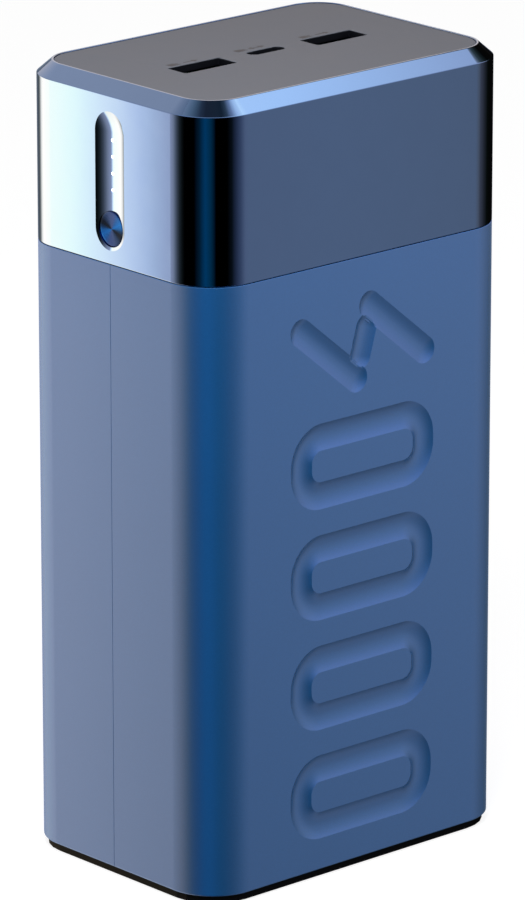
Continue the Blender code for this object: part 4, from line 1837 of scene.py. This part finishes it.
    def plating_ribbons(self) -> list[Ribbon]:
        """The cards for the polished pieces: for the upright plating and for the chamfers.

        A row is an azimuth and the display tone that the plating shows there; the chamfers have one
        tone for each of three heights of card.
        """
        black = (0.0, 0.0, 0.0)
        upright = (
            (-230, (140, 165, 215)),
            (-205, (95, 115, 150)),
            (-192, (70, 85, 105)),
            (-178, (60, 70, 80)),
            (-172, (125, 134, 140)),
            (-165, (221, 227, 231)),
            (-158, (252, 255, 255)),
            (-137, (245, 255, 254)),
            (-135.3, (225, 253, 255)),
            (-134.6, (210, 236, 253)),
            (-133.9, (204, 226, 250)),
            (-132.5, (170, 193, 234)),
            (-131.8, (152, 176, 213)),
            (-131.3, (142, 160, 200)),
            (-130.5, (124, 140, 174)),
            (-127, (118, 132, 166)),
            (-122.9, (104, 118, 146)),
            (-117.8, (78, 90, 113)),
            (-113, (52, 62, 78)),
            (-107.5, (26, 34, 42)),
            (-102, (10, 15, 18)),
            (-96, black),
            (-76, black),
            (-66, (2, 25, 45)),
            (-55, (1, 52, 94)),
            (-46, (1, 42, 72)),
            (-36, black),
            (-14, black),
            (-4, (7, 14, 22)),
            (4.5, (29, 40, 65)),
            (15.7, (49, 64, 95)),
            (27, (71, 88, 121)),
            (38, (73, 92, 124)),
            (43.5, (72, 90, 120)),
            (48, (69, 84, 110)),
            (51, (66, 78, 99)),
            (55, (52, 59, 77)),
            (67.7, (28, 33, 43)),
            (78, (6, 10, 10)),
            (92, (4, 5, 6)),
            (114, (5, 6, 8)),
            (121, (30, 38, 52)),
            (129.5, (140, 165, 215)),
        )
        slopes = (
            (-230, (178, 182, 198), (140, 150, 180), (130, 140, 170)),
            (-166, (119, 136, 168), (102, 120, 152), (95, 114, 147)),
            (-158, (116, 133, 164), (100, 118, 150), (92, 112, 146)),
            (-146, (105, 122, 155), (96, 114, 146), (86, 106, 138)),
            (-130, (95, 115, 152), (90, 112, 150), (80, 104, 142)),
            (-110, (90, 118, 165), (90, 118, 165), (80, 108, 152)),
            (-20, (90, 118, 165), (90, 118, 165), (80, 108, 152)),
            (40, (100, 130, 180), (140, 180, 235), (160, 196, 240)),
            (62, (119, 136, 179), (156, 194, 248), (174, 211, 254)),
            (74.6, (119, 136, 179), (156, 194, 248), (174, 211, 254)),
            (77, (74, 90, 112), (110, 134, 170), (120, 150, 190)),
            (80, (42, 57, 68), (60, 76, 96), (70, 88, 110)),
            (86, (18, 27, 31), (30, 40, 52), (40, 52, 68)),
            (92, (4, 5, 6), (20, 28, 38), (30, 40, 52)),
            (107, (6, 6, 6), (30, 38, 50), (40, 50, 66)),
            (117, (76, 78, 82), (90, 98, 115), (90, 98, 115)),
            (129.5, (178, 182, 198), (140, 150, 180), (130, 140, 170)),
        )
        below = tuple((azimuth, tuple(c * 0.6 for c in tone)) for azimuth, tone in upright)
        walls = self.behind_plating(upright)
        first, second, third = (
            self.behind_plating([(row[0], row[level]) for row in slopes]) for level in (1, 2, 3)
        )
        return [
            Ribbon("low_card", -0.6, 0.03, self.behind_plating(below), walls),
            Ribbon("upright_card", 0.03, 0.2, walls, walls),
            Ribbon("slope_card_1", 0.2, 0.4, first, first),
            Ribbon("slope_card_2", 0.4, 0.5, first, second),
            Ribbon("slope_card_3", 0.5, 0.6, second, third),
        ]

    def ceiling(self) -> CeilingCard:
        """The card overhead, dark in the middle and bright towards the wide chamfer's side."""
        stops = (
            (-0.3, (92, 112, 145)),
            (-0.273, (86, 108, 140)),
            (-0.219, (70, 94, 124)),
            (-0.165, (52, 74, 100)),
            (-0.111, (32, 46, 68)),
            (-0.058, (23, 33, 50)),
            (0.046, (22, 34, 50)),
            (0.1, (18, 31, 47)),
            (0.146, (38, 56, 78)),
            (0.194, (91, 115, 159)),
            (0.24, (143, 177, 227)),
            (0.3, (172, 210, 254)),
        )
        return CeilingCard("ceiling_card", 0.6, 0.3, -47.0, self.behind_plating(stops))

    def softbox(self) -> None:
        """A large light above and in front that only matt surfaces see."""
        light = bpy.data.lights.new("softbox", "AREA")
        light.shape = "DISK"
        light.size = self.softbox_size
        light.energy = self.softbox_watts
        lamp = bpy.data.objects.new("softbox", light)
        lamp.location = self.softbox_place
        aim = Vector(self.target) - lamp.location
        lamp.rotation_euler = aim.to_track_quat("-Z", "Y").to_euler()
        lamp.visible_glossy = False
        bpy.context.scene.collection.objects.link(lamp)

    def camera(self, scene: bpy.types.Scene) -> None:
        """Places the camera at its azimuth, from -Y towards +X, and elevation, facing the target."""
        turn, rise = math.radians(self.azimuth), math.radians(self.elevation)
        level = math.cos(rise)
        away = Vector((math.sin(turn) * level, -math.cos(turn) * level, math.sin(rise)))
        lens = bpy.data.cameras.new("camera")
        lens.lens = self.lens
        lens.shift_x, lens.shift_y = self.shift
        lens.clip_start, lens.clip_end = 0.05, 30.0
        camera = bpy.data.objects.new("camera", lens)
        camera.location = Vector(self.target) + away * self.distance
        camera.rotation_euler = (math.pi / 2 - rise, 0.0, turn)
        scene.collection.objects.link(camera)
        scene.camera = camera


def main() -> None:
    """Builds every sub-assembly in order and dresses what the CAD model keeps."""
    logging.basicConfig(level=logging.INFO, format="%(name)s: %(message)s")
    button_low, button_high = cad_box("power_button")
    button_z = (button_low[2] + button_high[2]) / 2
    leds = [cad_box(f"led_{n}") for n in range(1, 5)]
    lights = np.array([(low[2] + high[2]) / 2 for low, high in leds])
    tips = cad_box("light_guide")[0][0] + GLOWING_LENGTH
    finishes = Finishes(button_z * MM, tips * MM, cad_box("port_panel")[1][2] * MM)
    Case(finishes).build()
    Cap(finishes, button_z, lights).build()
    PortPanel(finishes).build()
    Button(finishes, button_z).build()
    LightGuide(finishes, lights).build()
    Dressing(finishes).build()
    Studio(finishes).build()


if __name__ == "__main__":
    main()
